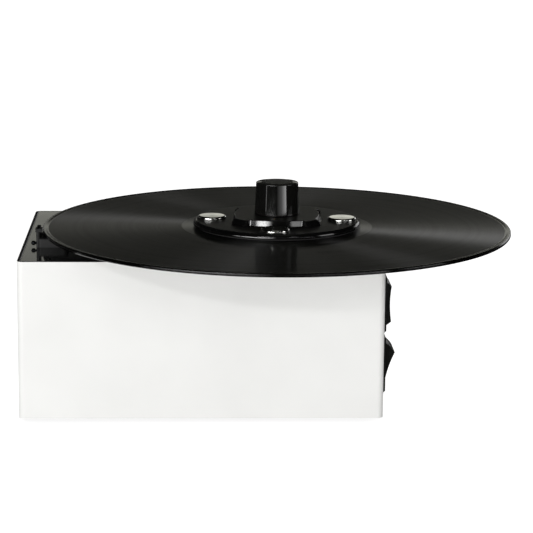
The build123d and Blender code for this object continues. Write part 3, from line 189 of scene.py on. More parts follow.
def composite_edge():
    """Sawn edge of the composite: a hair of coated skin, the black core, the bare inner skin."""
    made, tree, surface, place = blank("sawn_composite_edge", Roughness=0.55)
    half = (SLEEVE_HIGH - SLEEVE_LOW) / 2
    inner = (half.x - SLEEVE_CORNER, half.y - SLEEVE_CORNER, 0)
    centred = add(tree, "ShaderNodeVectorMath", {0: place, 1: SLEEVE_MIDDLE},
                  operation="SUBTRACT").outputs[0]
    folded = add(tree, "ShaderNodeVectorMath", {0: centred}, operation="ABSOLUTE").outputs[0]
    past = add(tree, "ShaderNodeVectorMath", {0: folded, 1: inner},
               operation="SUBTRACT").outputs[0]
    kept = add(tree, "ShaderNodeVectorMath", {0: past, 1: (0, 0, 0)},
               operation="MAXIMUM").outputs[0]
    depth = add(tree, "ShaderNodeMapRange", {"Value": radius_from(tree, kept, (0, 0, 0)),
                                             "From Min": SLEEVE_CORNER,
                                             "From Max": SLEEVE_CORNER - SHEET})
    skins = add(tree, "ShaderNodeValToRGB", {"Fac": depth.outputs[0]},
                stops=((0.0, "#F1F1EE"), (0.13, "#141414"), (0.87, "#9A9B9C")))
    skins.color_ramp.interpolation = "CONSTANT"
    saw = add(tree, "ShaderNodeTexNoise", {"Vector": place, "Scale": 1 / (0.5 * MM),
                                           "Detail": 3.0}).outputs["Fac"]
    height = add(tree, "ShaderNodeBump", {"Height": saw, "Distance": 0.03 * MM})
    feed(tree, surface, Base_Color=skins.outputs["Color"], Normal=height.outputs[0])
    return made


def polished_acrylic():
    """Cast acrylic, dark grey and flame polished: a mirror with a little settled dust."""
    made, tree, surface, place = blank("cast_acrylic_dark", IOR=1.55)
    dust = add(tree, "ShaderNodeTexNoise", {"Vector": place, "Scale": 1 / (0.9 * MM),
                                            "Detail": 4.0, "Roughness": 0.7}).outputs["Fac"]
    wipe = add(tree, "ShaderNodeTexNoise", {"Vector": place, "Scale": 1 / (38 * MM),
                                            "Detail": 2.0}).outputs["Fac"]
    tone = add(tree, "ShaderNodeValToRGB", {"Fac": dust},
               stops=((0.5, "#191A19"), (0.78, "#2C2D2A")))
    gloss = add(tree, "ShaderNodeMapRange", {"Value": wipe, "From Min": 0.3, "From Max": 0.7,
                                             "To Min": 0.09, "To Max": 0.12})
    feed(tree, surface, Base_Color=tone.outputs["Color"], Roughness=gloss.outputs[0])
    return made


def pressed_vinyl():
    """Pressed PVC record: black, with smooth lands and grooves that spread light across them."""
    made, tree, surface, place = blank("pressed_pvc", IOR=1.5, Anisotropic=1.0,
                                       Anisotropic_Rotation=0.25, Coat_Weight=0.10,
                                       Coat_Roughness=0.11, Coat_IOR=1.5)
    radius = radius_from(tree, place, AXIS)
    along = add(tree, "ShaderNodeCombineXYZ", {"X": radius}).outputs[0]
    # Loud and quiet passages: bands some millimetres wide that spread light more or less.
    bands = add(tree, "ShaderNodeTexNoise", {"Vector": along, "Scale": 1 / (5.5 * MM),
                                             "Detail": 5.0, "Roughness": 0.75}).outputs["Fac"]
    # Groove turns are 0.1 mm apart; they are drawn 0.9 mm apart, the finest that shows.
    turns = add(tree, "ShaderNodeTexNoise", {"Vector": along, "Scale": 1 / (0.9 * MM),
                                             "Detail": 1.0}).outputs["Fac"]
    grooved = add(tree, "ShaderNodeMapRange", {"Value": radius,
                                               "From Min": (RUN_OUT + 0.2) * MM,
                                               "From Max": (RUN_OUT + 1.0) * MM}).outputs[0]
    inside_rim = add(tree, "ShaderNodeMapRange", {"Value": radius,
                                                  "From Min": (LEAD_IN + 0.2) * MM,
                                                  "From Max": (LEAD_IN - 0.4) * MM}).outputs[0]
    cut = add(tree, "ShaderNodeMath", {0: grooved, 1: inside_rim}, operation="MULTIPLY").outputs[0]
    spread = add(tree, "ShaderNodeMapRange", {"Value": bands, "From Min": 0.3, "From Max": 0.7,
                                              "To Min": 0.45, "To Max": 0.53}).outputs[0]
    plain = add(tree, "ShaderNodeMapRange", {"Value": radius, "From Min": RUN_OUT * MM,
                                             "From Max": LEAD_IN * MM, "To Min": 0.33,
                                             "To Max": 0.20}).outputs[0]
    gloss = add(tree, "ShaderNodeMix", {0: cut, 2: plain, 3: spread}).outputs[0]
    tone = add(tree, "ShaderNodeValToRGB", {"Fac": turns},
               stops=((0.3, "#0A0A09"), (0.7, "#131311"))).outputs["Color"]
    # Painted shade: from BARE_RIM outwards the groove tone is darkened to a fifth, so the trimmed
    # rim and its upright edge read black.
    rim_painted_shade = add(tree, "ShaderNodeMapRange", {"Value": radius, "From Min": BARE_RIM * MM,
                                            "From Max": (BARE_RIM + 0.7) * MM, "To Min": 1.0,
                                            "To Max": 0.2}).outputs[0]
    # The groove tone with the painted shade of the rim applied.
    depth = add(tree, "ShaderNodeVectorMath", {0: tone, "Scale": rim_painted_shade}, operation="SCALE")
    ridge = add(tree, "ShaderNodeMath", {0: turns, 1: cut}, operation="MULTIPLY").outputs[0]
    height = add(tree, "ShaderNodeBump", {"Height": ridge, "Distance": 0.01 * MM,
                                          "Strength": 1.0})
    # The tangent runs round the record, and the shader's quarter turn of it lays the spread of
    # light across the grooves.
    round_it = add(tree, "ShaderNodeTangent", direction_type="RADIAL", axis="Z")
    feed(tree, surface, Base_Color=depth.outputs[0], Roughness=gloss, Normal=height.outputs[0],
         Tangent=round_it.outputs[0])
    return made


def label_paper():
    """Uncoated label paper: warm grey, with a plain printed ring and visible fibre."""
    made, tree, surface, place = blank("label_paper", Roughness=0.85)
    radius = radius_from(tree, place, AXIS)
    share = add(tree, "ShaderNodeMath", {0: radius, 1: LABEL * MM}, operation="DIVIDE").outputs[0]
    print_ring = add(tree, "ShaderNodeValToRGB", {"Fac": share},
                     stops=((0.0, "#B9AE98"), (0.30, "#7A7466"), (0.315, "#B9AE98"),
                            (0.90, "#5C574D"), (0.93, "#B9AE98")))
    print_ring.color_ramp.interpolation = "CONSTANT"
    fibre = add(tree, "ShaderNodeTexNoise", {"Vector": place, "Scale": 1 / (0.25 * MM),
                                             "Detail": 4.0}).outputs["Fac"]
    height = add(tree, "ShaderNodeBump", {"Height": fibre, "Distance": 0.02 * MM})
    feed(tree, surface, Base_Color=print_ring.outputs["Color"], Normal=height.outputs[0])
    return made


def turned_metal(name, dark, light, rough, lay):
    """Metal cut on a lathe: fine rings about the spindle's axis, a real tool mark apart in mm."""
    made, tree, surface, place = blank(name, Metallic=1.0)
    radius = radius_from(tree, place, AXIS)
    upright = add(tree, "ShaderNodeSeparateXYZ", {0: place}).outputs["Z"]
    sheared = add(tree, "ShaderNodeCombineXYZ", {"X": radius, "Y": upright}).outputs[0]
    rings = add(tree, "ShaderNodeTexNoise", {"Vector": sheared, "Scale": 1 / (lay * MM),
                                             "Detail": 2.0}).outputs["Fac"]
    tone = add(tree, "ShaderNodeValToRGB", {"Fac": rings},
               stops=((0.3, dark), (0.7, light)))
    gloss = add(tree, "ShaderNodeMapRange", {"Value": rings, "From Min": 0.3, "From Max": 0.7,
                                             "To Min": rough[0], "To Max": rough[1]})
    height = add(tree, "ShaderNodeBump", {"Height": rings, "Distance": 0.01 * MM})
    feed(tree, surface, Base_Color=tone.outputs["Color"], Roughness=gloss.outputs[0],
         Normal=height.outputs[0])
    return made


def solder_mask():
    """Circuit board: green solder mask over etched tracks that run square to each other."""
    made, tree, surface, place = blank("solder_mask_green", Roughness=0.35, IOR=1.5)
    blocks = add(tree, "ShaderNodeTexBrick", {"Vector": place, "Scale": 1 / (20 * MM),
                                              "Color1": linear("#0E4A2C"),
                                              "Color2": linear("#13552F"),
                                              "Mortar": linear("#2F7A45"), "Mortar Size": 0.03,
                                              "Brick Width": 0.4, "Row Height": 0.12}).outputs
    height = add(tree, "ShaderNodeBump", {"Height": blocks["Fac"], "Distance": 0.03 * MM})
    feed(tree, surface, Base_Color=blocks["Color"], Normal=height.outputs[0])
    return made


def varnished_laminations():
    """Transformer core: stacked steel sheets 0.5 mm thick under brown varnish."""
    made, tree, surface, place = blank("varnished_laminations", Metallic=0.6, Roughness=0.4)
    # A wave texture of scale 1 repeats every pi / 10 metres.
    stack = add(tree, "ShaderNodeTexWave", {"Vector": place, "Scale": math.pi / 10 / (0.5 * MM),
                                            "Distortion": 0.4}, bands_direction="Z").outputs["Fac"]
    tone = add(tree, "ShaderNodeValToRGB", {"Fac": stack},
               stops=((0.2, "#2A221C"), (0.8, "#6A5C4E")))
    height = add(tree, "ShaderNodeBump", {"Height": stack, "Distance": 0.05 * MM})
    feed(tree, surface, Base_Color=tone.outputs["Color"], Normal=height.outputs[0])
    return made


FINISH = {
    "white_composite": composite_coat(),
    "gloss_dark_plate": polished_acrylic(),
    # Zinc plate over cold-rolled steel: cool grey with cloudy patches.
    "plated_steel": grained("zinc_plated_steel", "#8F9498", "#C3C7CA", 0.8, (0.28, 0.44), 0.004,
                            Metallic=1.0),
    # Ground and turned shafts: bright cool grey with fine rings.
    "turned_steel": turned_metal("ground_steel", "#A9ABAD", "#D2D4D5", (0.16, 0.28), 0.25),
    # Polished stainless heads: bright, with hairline polishing marks only.
    "polished_steel": grained("polished_stainless", "#DADBD8", "#F0F0EC", 0.35, (0.04, 0.08),
                              0.0005, Metallic=1.0),
    # Machined aluminium: paler than steel, with coarser rings and a softer shine.
    "bare_aluminium": turned_metal("machined_aluminium", "#B9BBBD", "#DADBDC", (0.22, 0.36), 0.4),
    # Sintered bronze: pores make it speckled and dull.
    "bronze": grained("sintered_bronze", "#6E4B22", "#B98A4C", 0.3, (0.35, 0.55), 0.01,
                      Metallic=1.0),
    # Moulded nitrile rubber: matt, faintly dusty black.
    "black_rubber": grained("nitrile_rubber", "#0E0E0E", "#242423", 0.5, (0.55, 0.75), 0.02),
    "vinyl": pressed_vinyl(),
    "paper_label": label_paper(),
    # Polished ABS mouldings: deep black under a mirror gloss that ripples very slightly.
    "black_gloss_moulding": grained("polished_abs_black", "#0C0C0B", "#131312", 2.5, (0.05, 0.08),
                                    0.004, IOR=1.53),
    # Polyamide of switches, moulded from a polished tool: fine even grain under a soft gloss.
    "black_switch_plastic": grained("moulded_polyamide_black", "#10110F", "#1A1B18", 0.35,
                                    (0.19, 0.25), 0.003, IOR=1.53),
    # Injection-moulded ABS left as it comes from the tool: matt black with a fine grain.
    "black_plastic": grained("moulded_abs_black", "#101010", "#202020", 0.6, (0.38, 0.52), 0.01),
    # Blow-moulded polyethylene: milky, soft and slightly waxy.
    "natural_tank_plastic": grained("natural_polyethylene", "#C9CCC4", "#E2E4DD", 3.0, (0.35, 0.5),
                                    0.05, IOR=1.51),
    # Motor cans: dark stoving enamel over drawn steel, a half gloss with a slight orange peel.
    "motor_housing": grained("stoving_enamel_grey", "#26272A", "#3D3F43", 0.7, (0.30, 0.42), 0.01),
    "circuit_board": solder_mask(),
    "transformer_core": varnished_laminations(),
    # Turned brass: warm yellow with fine rings.
    "brass": turned_metal("turned_brass", "#A8803C", "#D9B36A", (0.2, 0.32), 0.3),
}
SAWN_EDGE = composite_edge()
# Spark-eroded ABS: black under a half gloss, much softer in highlight than the knob's side.
SATIN_MOULDING = grained("satin_abs_black", "#0E0E0C", "#161614", 0.9, (0.36, 0.42), 0.003,
                         IOR=1.5)
# Draw-polished walls of the clamp: deep black, a little softer in gloss than the knob.
CLAMP_WALLS = grained("drawn_polish_abs_black", "#050505", "#0B0B0B", 1.2, (0.09, 0.12), 0.003,
                      IOR=1.5)
# Acetal turned to a dull black that hardly shines.
DULL_ACETAL = grained("turned_acetal_black", "#060606", "#0E0E0E", 0.5, (0.52, 0.60), 0.004,
                      IOR=1.48)
# Screw steel blackened in hot oxide: near black with a dull metal sheen.
BLACK_OXIDE = grained("black_oxide_steel", "#16171A", "#26282B", 0.4, (0.35, 0.45), 0.002,
                      Metallic=1.0)

SLOT_OF = {entry["node"]: entry["material_slot"] for entry in frame["record"]["subparts"]}
BODY_OF = {node: body for body, nodes in frame["record"]["behaviour"]["bodies"].items()
           for node in nodes}
for node_name, node_object in NODES.items():
    for place in node_object.material_slots:
        place.material = FINISH[SLOT_OF[node_name]]
NODES["arm_locating_stud"].material_slots[0].material = BLACK_OXIDE


# ---------------------------------------------------------------- mesh helpers
# Faces that meet at more than this angle keep a sharp edge between them.
SHARP = math.radians(35)


def settle(piece, node, materials=None, angle=SHARP):
    """Finishes a piece that stands for a CAD node: smooth shading, the finish of the node's slot,
    and its body.

    A piece whose broken edges already carry their own normals comes with no angle.
    """
    mesh = piece.data
    if angle:
        mesh.shade_smooth()
        mesh.set_sharp_from_angle(angle=angle)
    mesh.materials.clear()
    for finish in materials or [FINISH[SLOT_OF[node]]]:
        mesh.materials.append(finish)
    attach(piece, BODY_OF[node])
    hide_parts(node)
    return piece


def linked(name, mesh):
    """New object for a mesh, in the scene."""
    made = bpy.data.objects.new(name, mesh)
    bpy.context.scene.collection.objects.link(made)
    return made


def baked(piece):
    """Applies a piece's modifiers and leaves a plain mesh."""
    settled = piece.evaluated_get(bpy.context.evaluated_depsgraph_get())
    mesh = bpy.data.meshes.new_from_object(settled)
    piece.modifiers.clear()
    piece.data = mesh
    return piece


def merged_copy(node):
    """Copy of a CAD node's mesh with its corners merged and its flat faces joined up."""
    shape = bmesh.new()
    shape.from_mesh(NODES[node].data)
    bmesh.ops.remove_doubles(shape, verts=shape.verts, dist=0.001 * MM)
    bmesh.ops.dissolve_limit(shape, angle_limit=math.radians(0.4), verts=shape.verts,
                             edges=shape.edges, delimit={"NORMAL"})
    mesh = bpy.data.meshes.new(node + "_soft")
    shape.to_mesh(mesh)
    shape.free()
    if "custom_normal" in mesh.attributes:
        mesh.attributes.remove(mesh.attributes["custom_normal"])
    return mesh


def broken(name, mesh, width, segments=2):
    """Piece from a mesh with its sharp edges broken by so many mm, and its flats kept flat."""
    mesh.shade_smooth()
    mesh.set_sharp_from_angle(angle=SHARP)
    piece = linked(name, mesh)
    edge = piece.modifiers.new("edge", "BEVEL")
    edge.width = width * MM
    edge.segments = segments
    edge.limit_method = "ANGLE"
    edge.angle_limit = SHARP
    edge.use_clamp_overlap = True
    edge.harden_normals = True
    return baked(piece)


def softened(node, width, finish=None):
    """Piece that stands for a CAD node, with its edges broken."""
    piece = broken(node + "_soft", merged_copy(node), width)
    settle(piece, node, finish and [finish], angle=None)


def recipe(name, **inputs):
    """New geometry nodes tree, with its named inputs, and the sockets that give them."""
    tree = bpy.data.node_groups.new(name, "GeometryNodeTree")
    for label, kind in inputs.items():
        tree.interface.new_socket(label, in_out="INPUT", socket_type="NodeSocket" + kind)
    tree.interface.new_socket("Geometry", in_out="OUTPUT", socket_type="NodeSocketGeometry")
    return tree, add(tree, "NodeGroupInput").outputs


def followed(piece, tree, **values):
    """Runs a recipe on a piece and leaves a plain mesh."""
    maker = piece.modifiers.new(tree.name, "NODES")
    maker.node_group = tree
    for socket in tree.interface.items_tree:
        if socket.in_out == "INPUT" and socket.name in values:
            maker[socket.identifier] = values[socket.name]
    return baked(piece)


def rounded(corners, steps):
    """Polyline through (radius, height, rounding) corners, each turned by an arc that big."""
    points = []
    count = len(corners)
    for i, (r, z, rounding) in enumerate(corners):
        here = Vector((r, z))
        before = Vector(corners[i - 1][:2]) - here
        after = Vector(corners[(i + 1) % count][:2]) - here
        if rounding <= 0:
            points.append(here)
            continue
        turn = before.angle(after)
        reach = min(rounding / math.tan(turn / 2), before.length * 0.49, after.length * 0.49)
        radius = reach * math.tan(turn / 2)
        centre = here + (before.normalized() + after.normalized()).normalized() * (
            radius / math.sin(turn / 2))
        start = here + before.normalized() * reach - centre
        end = here + after.normalized() * reach - centre
        swing = start.angle_signed(end)
        for k in range(steps + 1):
            points.append(centre + Matrix.Rotation(-swing * k / steps, 2) @ start)
    return points


# In mm.
LONG_RUN = 1.0  # the shortest run of a profile that is held
HOLD = 0.12  # how near its ends


def held(profile):
    """Closed profile with a point near both ends of each long run, so that runs shade straight."""
    points = []
    for here, there in zip(profile, profile[1:] + profile[:1]):
        run = Vector(there) - Vector(here)
        points.append(tuple(here))
        if run.length > LONG_RUN:
            step = run.normalized() * HOLD
            points += [tuple(Vector(here) + step), tuple(Vector(there) - step)]
    return points


def lathe(name, profile, segments, centre=AXIS):
    """Closed solid of revolution about an upright axis, from closed (radius, height) mm points."""
    shape = bmesh.new()
    rings = []
    for r, z in held(profile):
        count = segments if round(r, 6) else 1
        turns = [math.tau * k / segments for k in range(count)]
        rings.append([shape.verts.new((centre.x + r * MM * math.cos(turn),
                                       centre.y + r * MM * math.sin(turn), z * MM))
                      for turn in turns])
    for ring, other in zip(rings, rings[1:] + rings[:1]):
        for k in range(segments):
            corners = [ring[k % len(ring)], ring[(k + 1) % len(ring)],
                       other[(k + 1) % len(other)], other[k % len(other)]]
            distinct = list(dict.fromkeys(corners))
            if len(distinct) > 2:
                shape.faces.new(distinct)
    bmesh.ops.recalc_face_normals(shape, faces=shape.faces)
    mesh = bpy.data.meshes.new(name)
    shape.to_mesh(mesh)
    shape.free()
    return mesh


# ---------------------------------------------------------------- cabinet
def cabinet():
    """Folded sleeve: coated faces, sawn edges at top, bottom and round the cut-outs."""
    piece = linked("sleeve_folded", merged_copy("cabinet_sleeve"))
    settle(piece, "cabinet_sleeve", [FINISH["white_composite"], SAWN_EDGE])
    skin = 0.1 * MM
    for face in piece.data.polygons:
        at = face.center
        inside = (SLEEVE_LOW.x + skin < at.x < SLEEVE_HIGH.x - skin
                  and SLEEVE_LOW.y + skin < at.y < SLEEVE_HIGH.y - skin)
        if abs(face.normal.z) > 0.9 and inside:
            face.material_index = 1


cabinet()


# ---------------------------------------------------------------- record
# In mm. Heights are from the middle of the record's thickness.
PIN_HOLE = 3.65
GROOVED = 0.9  # height of the grooved land
BEAD = 1.2  # height of the bead round the rim
RIM_HALF = 0.55  # height where the bead meets the rim's upright edge
GAP_DEPTH = 0.02
# Each gap between tracks: the radius where it starts and its width.
TRACK_GAPS = ((76.5, 0.7), (91.0, 0.9), (108.5, 0.7), (124.0, 1.0), (137.5, 0.7))


def record_pressing():
    """Record with its raised label land, run-out, track gaps and bead at the rim."""
    box_low, box_high = low("vinyl_record") / MM, high("vinyl_record") / MM
    rim = (box_high.x - box_low.x) / 2
    mid = (box_low.z + box_high.z) / 2
    land = (box_high.z - box_low.z) / 2
    cut = GROOVED - GAP_DEPTH
    upper = [(PIN_HOLE, land), (LABEL, land), (LABEL + 0.05, land), (LABEL + 0.8, GROOVED),
             (RUN_OUT, cut), (RUN_OUT + 0.4, GROOVED)]
    for at, width in TRACK_GAPS:
        upper += [(at - 0.3, GROOVED), (at, cut), (at + width, cut), (at + width + 0.3, GROOVED)]
    bead_foot = LEAD_IN + 0.8
    upper += [(LEAD_IN - 0.4, GROOVED), (LEAD_IN, cut), (bead_foot, GROOVED)]
    bead = rounded([(bead_foot, GROOVED, 0.0), (BARE_RIM - 0.3, BEAD - 0.02, 0.5),
                    (BARE_RIM + 1.0, BEAD, 0.5), (rim, RIM_HALF, 0.35), (rim, -RIM_HALF, 0.0)], 4)
    upper += [tuple(point) for point in bead[1:-1]]
    profile = [(r, mid + z) for r, z in upper] + [(r, mid - z) for r, z in reversed(upper)]
    return linked("record_pressing", lathe("record_pressing", profile, 512))


settle(record_pressing(), "vinyl_record")


# ---------------------------------------------------------------- clamp, knob and spindle
# Radii, in mm.
KNOB = 13.6  # at its shoulder
KNOB_FLARE = 0.9  # how much wider it is at its foot
FLARE_BEND = 1.35  # a power: straight at 1, and bowed inwards above it
KNOB_BORE = 6.02
SCREW_HEAD = 9.2
SCREW_SHANK = 2.0
SCREW_CIRCLE = 42.0
POCKETS_FROM = 20.0  # no pocket of the clamp comes nearer to the axis
JOURNAL = 5.0
COLLAR = 12.0
PIN = 3.58
THREAD = 3.0
# Heights above the floor, in mm.
SCREW_SEAT = 116.0
COLLAR_LOW, COLLAR_HIGH = 103.5, 105.0
PIN_LOW, PIN_HIGH = 107.4, 112.8
THREAD_LOW = 113.2
# The thread and its lead, in mm.
THREAD_PITCH = 1.5
THREAD_DEPTH = 0.75
THREAD_TIP = 1.2
SCREWS_TURN = math.radians(-4.0)
POCKET_DRAFT = math.radians(17.0)


def knob():
    """Moulded knob: side that flares to its foot, rounded shoulder, flat crown, insert's bore."""
    foot, top = low("clamp_knob").z / MM, high("clamp_knob").z / MM
    bore_top = high("knob_insert").z / MM
    shoulder, steps = top - 0.5, 26
    side = [(KNOB + KNOB_FLARE * (1 - k / steps) ** FLARE_BEND,
             foot + (shoulder - foot) * k / steps, 0.0) for k in range(1, steps)]
    profile = rounded([(KNOB_BORE, foot, 0.2), (KNOB + KNOB_FLARE, foot, 0.3)] + side
                      + [(KNOB, shoulder, 0.5), (KNOB - 3.6, top - 0.1, 0.8), (0.0, top, 0.0),
                         (0.0, bore_top, 0.0), (KNOB_BORE, bore_top, 0.0)], 8)
    piece = settle(linked("knob_moulding", lathe("knob_moulding", profile, 192)), "clamp_knob",
                   [FINISH["black_gloss_moulding"], SATIN_MOULDING])
    for face in piece.data.polygons:
        if face.center.z > (top - 0.12) * MM:
            face.material_index = 1


def clamp_moulding():
    """Clamp disc with its pocket walls leaning back by their draft and its edges broken."""
    top = high("clamp_disc").z
    lean = math.tan(POCKET_DRAFT) * (top - SCREW_SEAT * MM)
    mesh = merged_copy("clamp_disc")
    shape = bmesh.new()
    shape.from_mesh(mesh)
    shape.normal_update()
    moves = []
    for corner in shape.verts:
        out = (corner.co - AXIS).to_2d()
        if corner.co.z < top - 0.01 * MM or out.length < POCKETS_FROM * MM:
            continue
        walls = [face.normal.to_2d() for face in corner.link_faces if abs(face.normal.z) < 0.05]
        if walls:
            moves.append((corner, sum(walls, Vector((0, 0))).normalized() * lean))
    for corner, move in moves:
        corner.co.x -= move.x
        corner.co.y -= move.y
    shape.to_mesh(mesh)
    shape.free()
    return broken("clamp_moulding", mesh, 0.3, 3)


def clamp_screw_ring():
    """The four clamp screws: one head and shank, set on their circle by geometry nodes."""
    end, crown = low("clamp_screws").z / MM, high("clamp_screws").z / MM
    screw = linked("one_screw", lathe("one_screw", rounded(
        [(0.0, crown, 0.0), (SCREW_HEAD - 1.0, crown - 0.08, 1.0), (SCREW_HEAD, crown - 0.6, 1.0),
         (SCREW_HEAD, SCREW_SEAT, 0.1), (SCREW_SHANK, SCREW_SEAT, 0.0),
         (SCREW_SHANK, end + 0.4, 0.2), (SCREW_SHANK - 0.4, end, 0.0), (0.0, end, 0.0)],
        6), 96, Vector((0, 0, 0))))
    tree, given = recipe("screw_ring", Screw="Object", Count="Int", Circle="Float", Turn="Float",
                         Finish="Material")
    ring = add(tree, "GeometryNodeMeshCircle", {"Vertices": given["Count"],
                                                "Radius": given["Circle"]})
    turn = add(tree, "ShaderNodeCombineXYZ", {"Z": given["Turn"]})
    placed = add(tree, "GeometryNodeTransform", {"Geometry": ring.outputs[0], "Translation": AXIS,
                                                 "Rotation": turn.outputs[0]})
    one = add(tree, "GeometryNodeObjectInfo", {"Object": given["Screw"]})
    copies = add(tree, "GeometryNodeInstanceOnPoints", {"Points": placed.outputs[0],
                                                        "Instance": one.outputs["Geometry"]})
    solid = add(tree, "GeometryNodeRealizeInstances", {"Geometry": copies.outputs[0]})
    dressed = add(tree, "GeometryNodeSetMaterial", {"Geometry": solid.outputs[0],
                                                    "Material": given["Finish"]})
    add(tree, "NodeGroupOutput", {"Geometry": dressed.outputs[0]})
    piece = linked("clamp_screw_ring", bpy.data.meshes.new("clamp_screw_ring"))
    followed(piece, tree, Screw=screw, Count=4, Circle=SCREW_CIRCLE * MM, Turn=SCREWS_TURN,
             Finish=FINISH["polished_steel"])
    bpy.data.objects.remove(screw)
    return piece


def threaded_spindle():
    """Spindle whose free end carries its thread, cut into a lathed blank by geometry nodes."""
    bottom, end = low("spindle").z / MM, high("spindle").z / MM
    thread = end - THREAD_TIP - THREAD_LOW
    steps = round(thread * 8)
    profile = [(0.0, bottom), (JOURNAL - 0.6, bottom), (JOURNAL, bottom + 0.6),
               (JOURNAL, COLLAR_LOW), (COLLAR, COLLAR_LOW), (COLLAR, COLLAR_HIGH),
               (JOURNAL, COLLAR_HIGH), (JOURNAL, PIN_LOW), (PIN, PIN_LOW), (PIN, PIN_HIGH)]
    profile += [(THREAD, THREAD_LOW + thread * k / steps) for k in range(steps + 1)]
    profile += [(THREAD - 1.0, end), (0.0, end)]
    spindle = linked("spindle_threaded", lathe("spindle_threaded", profile, 96))
    tree, given = recipe("cut_thread", Blank="Geometry", Pitch="Float", Depth="Float",
                         From="Float", To="Float", Axis="Vector", Finish="Material")
    here = add(tree, "GeometryNodeInputPosition").outputs[0]
    out = add(tree, "ShaderNodeVectorMath", {0: here, 1: given["Axis"]},
              operation="SUBTRACT").outputs[0]
    flat = add(tree, "ShaderNodeVectorMath", {0: out, 1: (1, 1, 0)},
               operation="MULTIPLY").outputs[0]
    away = add(tree, "ShaderNodeVectorMath", {0: flat}, operation="NORMALIZE").outputs[0]
    part = add(tree, "ShaderNodeSeparateXYZ", {0: out}).outputs
    angle = add(tree, "ShaderNodeMath", {0: part["Y"], 1: part["X"]},
                operation="ARCTAN2").outputs[0]
    turn = add(tree, "ShaderNodeMath", {0: angle, 1: math.tau}, operation="DIVIDE").outputs[0]
    climb = add(tree, "ShaderNodeMath", {0: part["Z"], 1: given["Pitch"]},
                operation="DIVIDE").outputs[0]
    phase = add(tree, "ShaderNodeMath", {0: climb, 1: turn}, operation="SUBTRACT").outputs[0]
    flank = add(tree, "ShaderNodeMath", {0: phase, 1: 0.5}, operation="PINGPONG").outputs[0]
    cut = add(tree, "ShaderNodeMapRange", {"Value": flank, "From Min": 0.06, "From Max": 0.44,
                                           "To Min": 0.0, "To Max": -1.0}).outputs[0]
    after = add(tree, "ShaderNodeMath", {0: part["Z"], 1: given["From"]},
                operation="GREATER_THAN").outputs[0]
    before = add(tree, "ShaderNodeMath", {0: part["Z"], 1: given["To"]},
                 operation="LESS_THAN").outputs[0]
    within = add(tree, "ShaderNodeMath", {0: after, 1: before}, operation="MULTIPLY").outputs[0]
    deep = add(tree, "ShaderNodeMath", {0: cut, 1: given["Depth"]},
               operation="MULTIPLY").outputs[0]
    move = add(tree, "ShaderNodeVectorMath", {0: away, "Scale": deep},
               operation="SCALE").outputs[0]
    threaded = add(tree, "GeometryNodeSetPosition", {"Geometry": given["Blank"],
                                                     "Selection": within, "Offset": move})
    solid = add(tree, "GeometryNodeRealizeInstances", {"Geometry": threaded.outputs[0]})
    dressed = add(tree, "GeometryNodeSetMaterial", {"Geometry": solid.outputs[0],
                                                    "Material": given["Finish"]})
    add(tree, "NodeGroupOutput", {"Geometry": dressed.outputs[0]})
    return followed(spindle, tree, Pitch=THREAD_PITCH * MM, Depth=THREAD_DEPTH * MM,
                    From=(THREAD_LOW + 0.1) * MM, To=(end - THREAD_TIP - 0.05) * MM, Axis=AXIS,
                    Finish=FINISH["turned_steel"])


settle(threaded_spindle(), "spindle", angle=math.radians(25))
knob()
clamp = settle(clamp_moulding(), "clamp_disc", [CLAMP_WALLS, SATIN_MOULDING], angle=None)
for face in clamp.data.polygons:
    if face.normal.z > 0.98:
        face.material_index = 1
settle(clamp_screw_ring(), "clamp_screws")


# ---------------------------------------------------------------- switches and small mouldings
BEZEL_PROUD = 0.7  # in mm


def proud_bezel(node):
    """Switch body with its bezel's outer face brought forward, so that it frames the rocker."""
    mesh = merged_copy(node)
    face = high(node).x
    for corner in mesh.vertices:
        if corner.co.x > face - 0.01 * MM:
            corner.co.x += BEZEL_PROUD * MM
    settle(broken(node + "_soft", mesh, 0.25), node, angle=None)


softened("rotation_rocker", 0.35)
softened("vacuum_rocker", 0.35)
proud_bezel("rotation_switch_body")
proud_bezel("vacuum_switch_body")
softened("arm_socket", 0.2, DULL_ACETAL)
softened("drain_cap", 0.25)
softened("mains_inlet", 0.3)


# ---------------------------------------------------------------- floor, world, lights, camera
FLOOR_HALF = 12.0  # in metres
FLOOR_TO_EYE = 0.88  # glow that lifts the lit floor to white for the camera
FLOOR_IN_GLOSS = 0.3  # glow that gloss shows of the floor behind the machine
PAINTED_DARK_REFLECTION = "#101010"  # painted dark reflection: floor colour in front that only gloss rays see, while the camera sees white
# By the sine of elevation: the room's light for matt surfaces, and what gloss shows of it.
ROOM_LIGHT = ((0.0, "#B0B0B0"), (0.5, "#8E8E8E"), (1.0, "#7A7A7A"))
ROOM_BEHIND = "#FFFFFF"
WALLS_IN_GLOSS = ((0.0, "#30302E"), (0.145, "#454541"), (0.163, "#DEDED4"), (0.185, "#D0D0C6"),
                  (0.207, "#A8A89F"), (0.225, "#333330"), (0.6, "#1C1C1B"), (0.8, "#1C1C1B"),
                  (0.92, "#5E5E58"))
# From the left wall to the right one: the paper is lit most just right of the middle.
POOL_OF_LIGHT = ((0.0, "#505050"), (0.36, "#909090"), (0.42, "#F0F0F0"), (0.50, "#E8E8E8"),
                 (0.56, "#FFFFFF"), (0.66, "#FFFFFF"), (0.75, "#707070"), (1.0, "#404040"))
LAMPS_AIM = Vector((0, 0, 0.08))
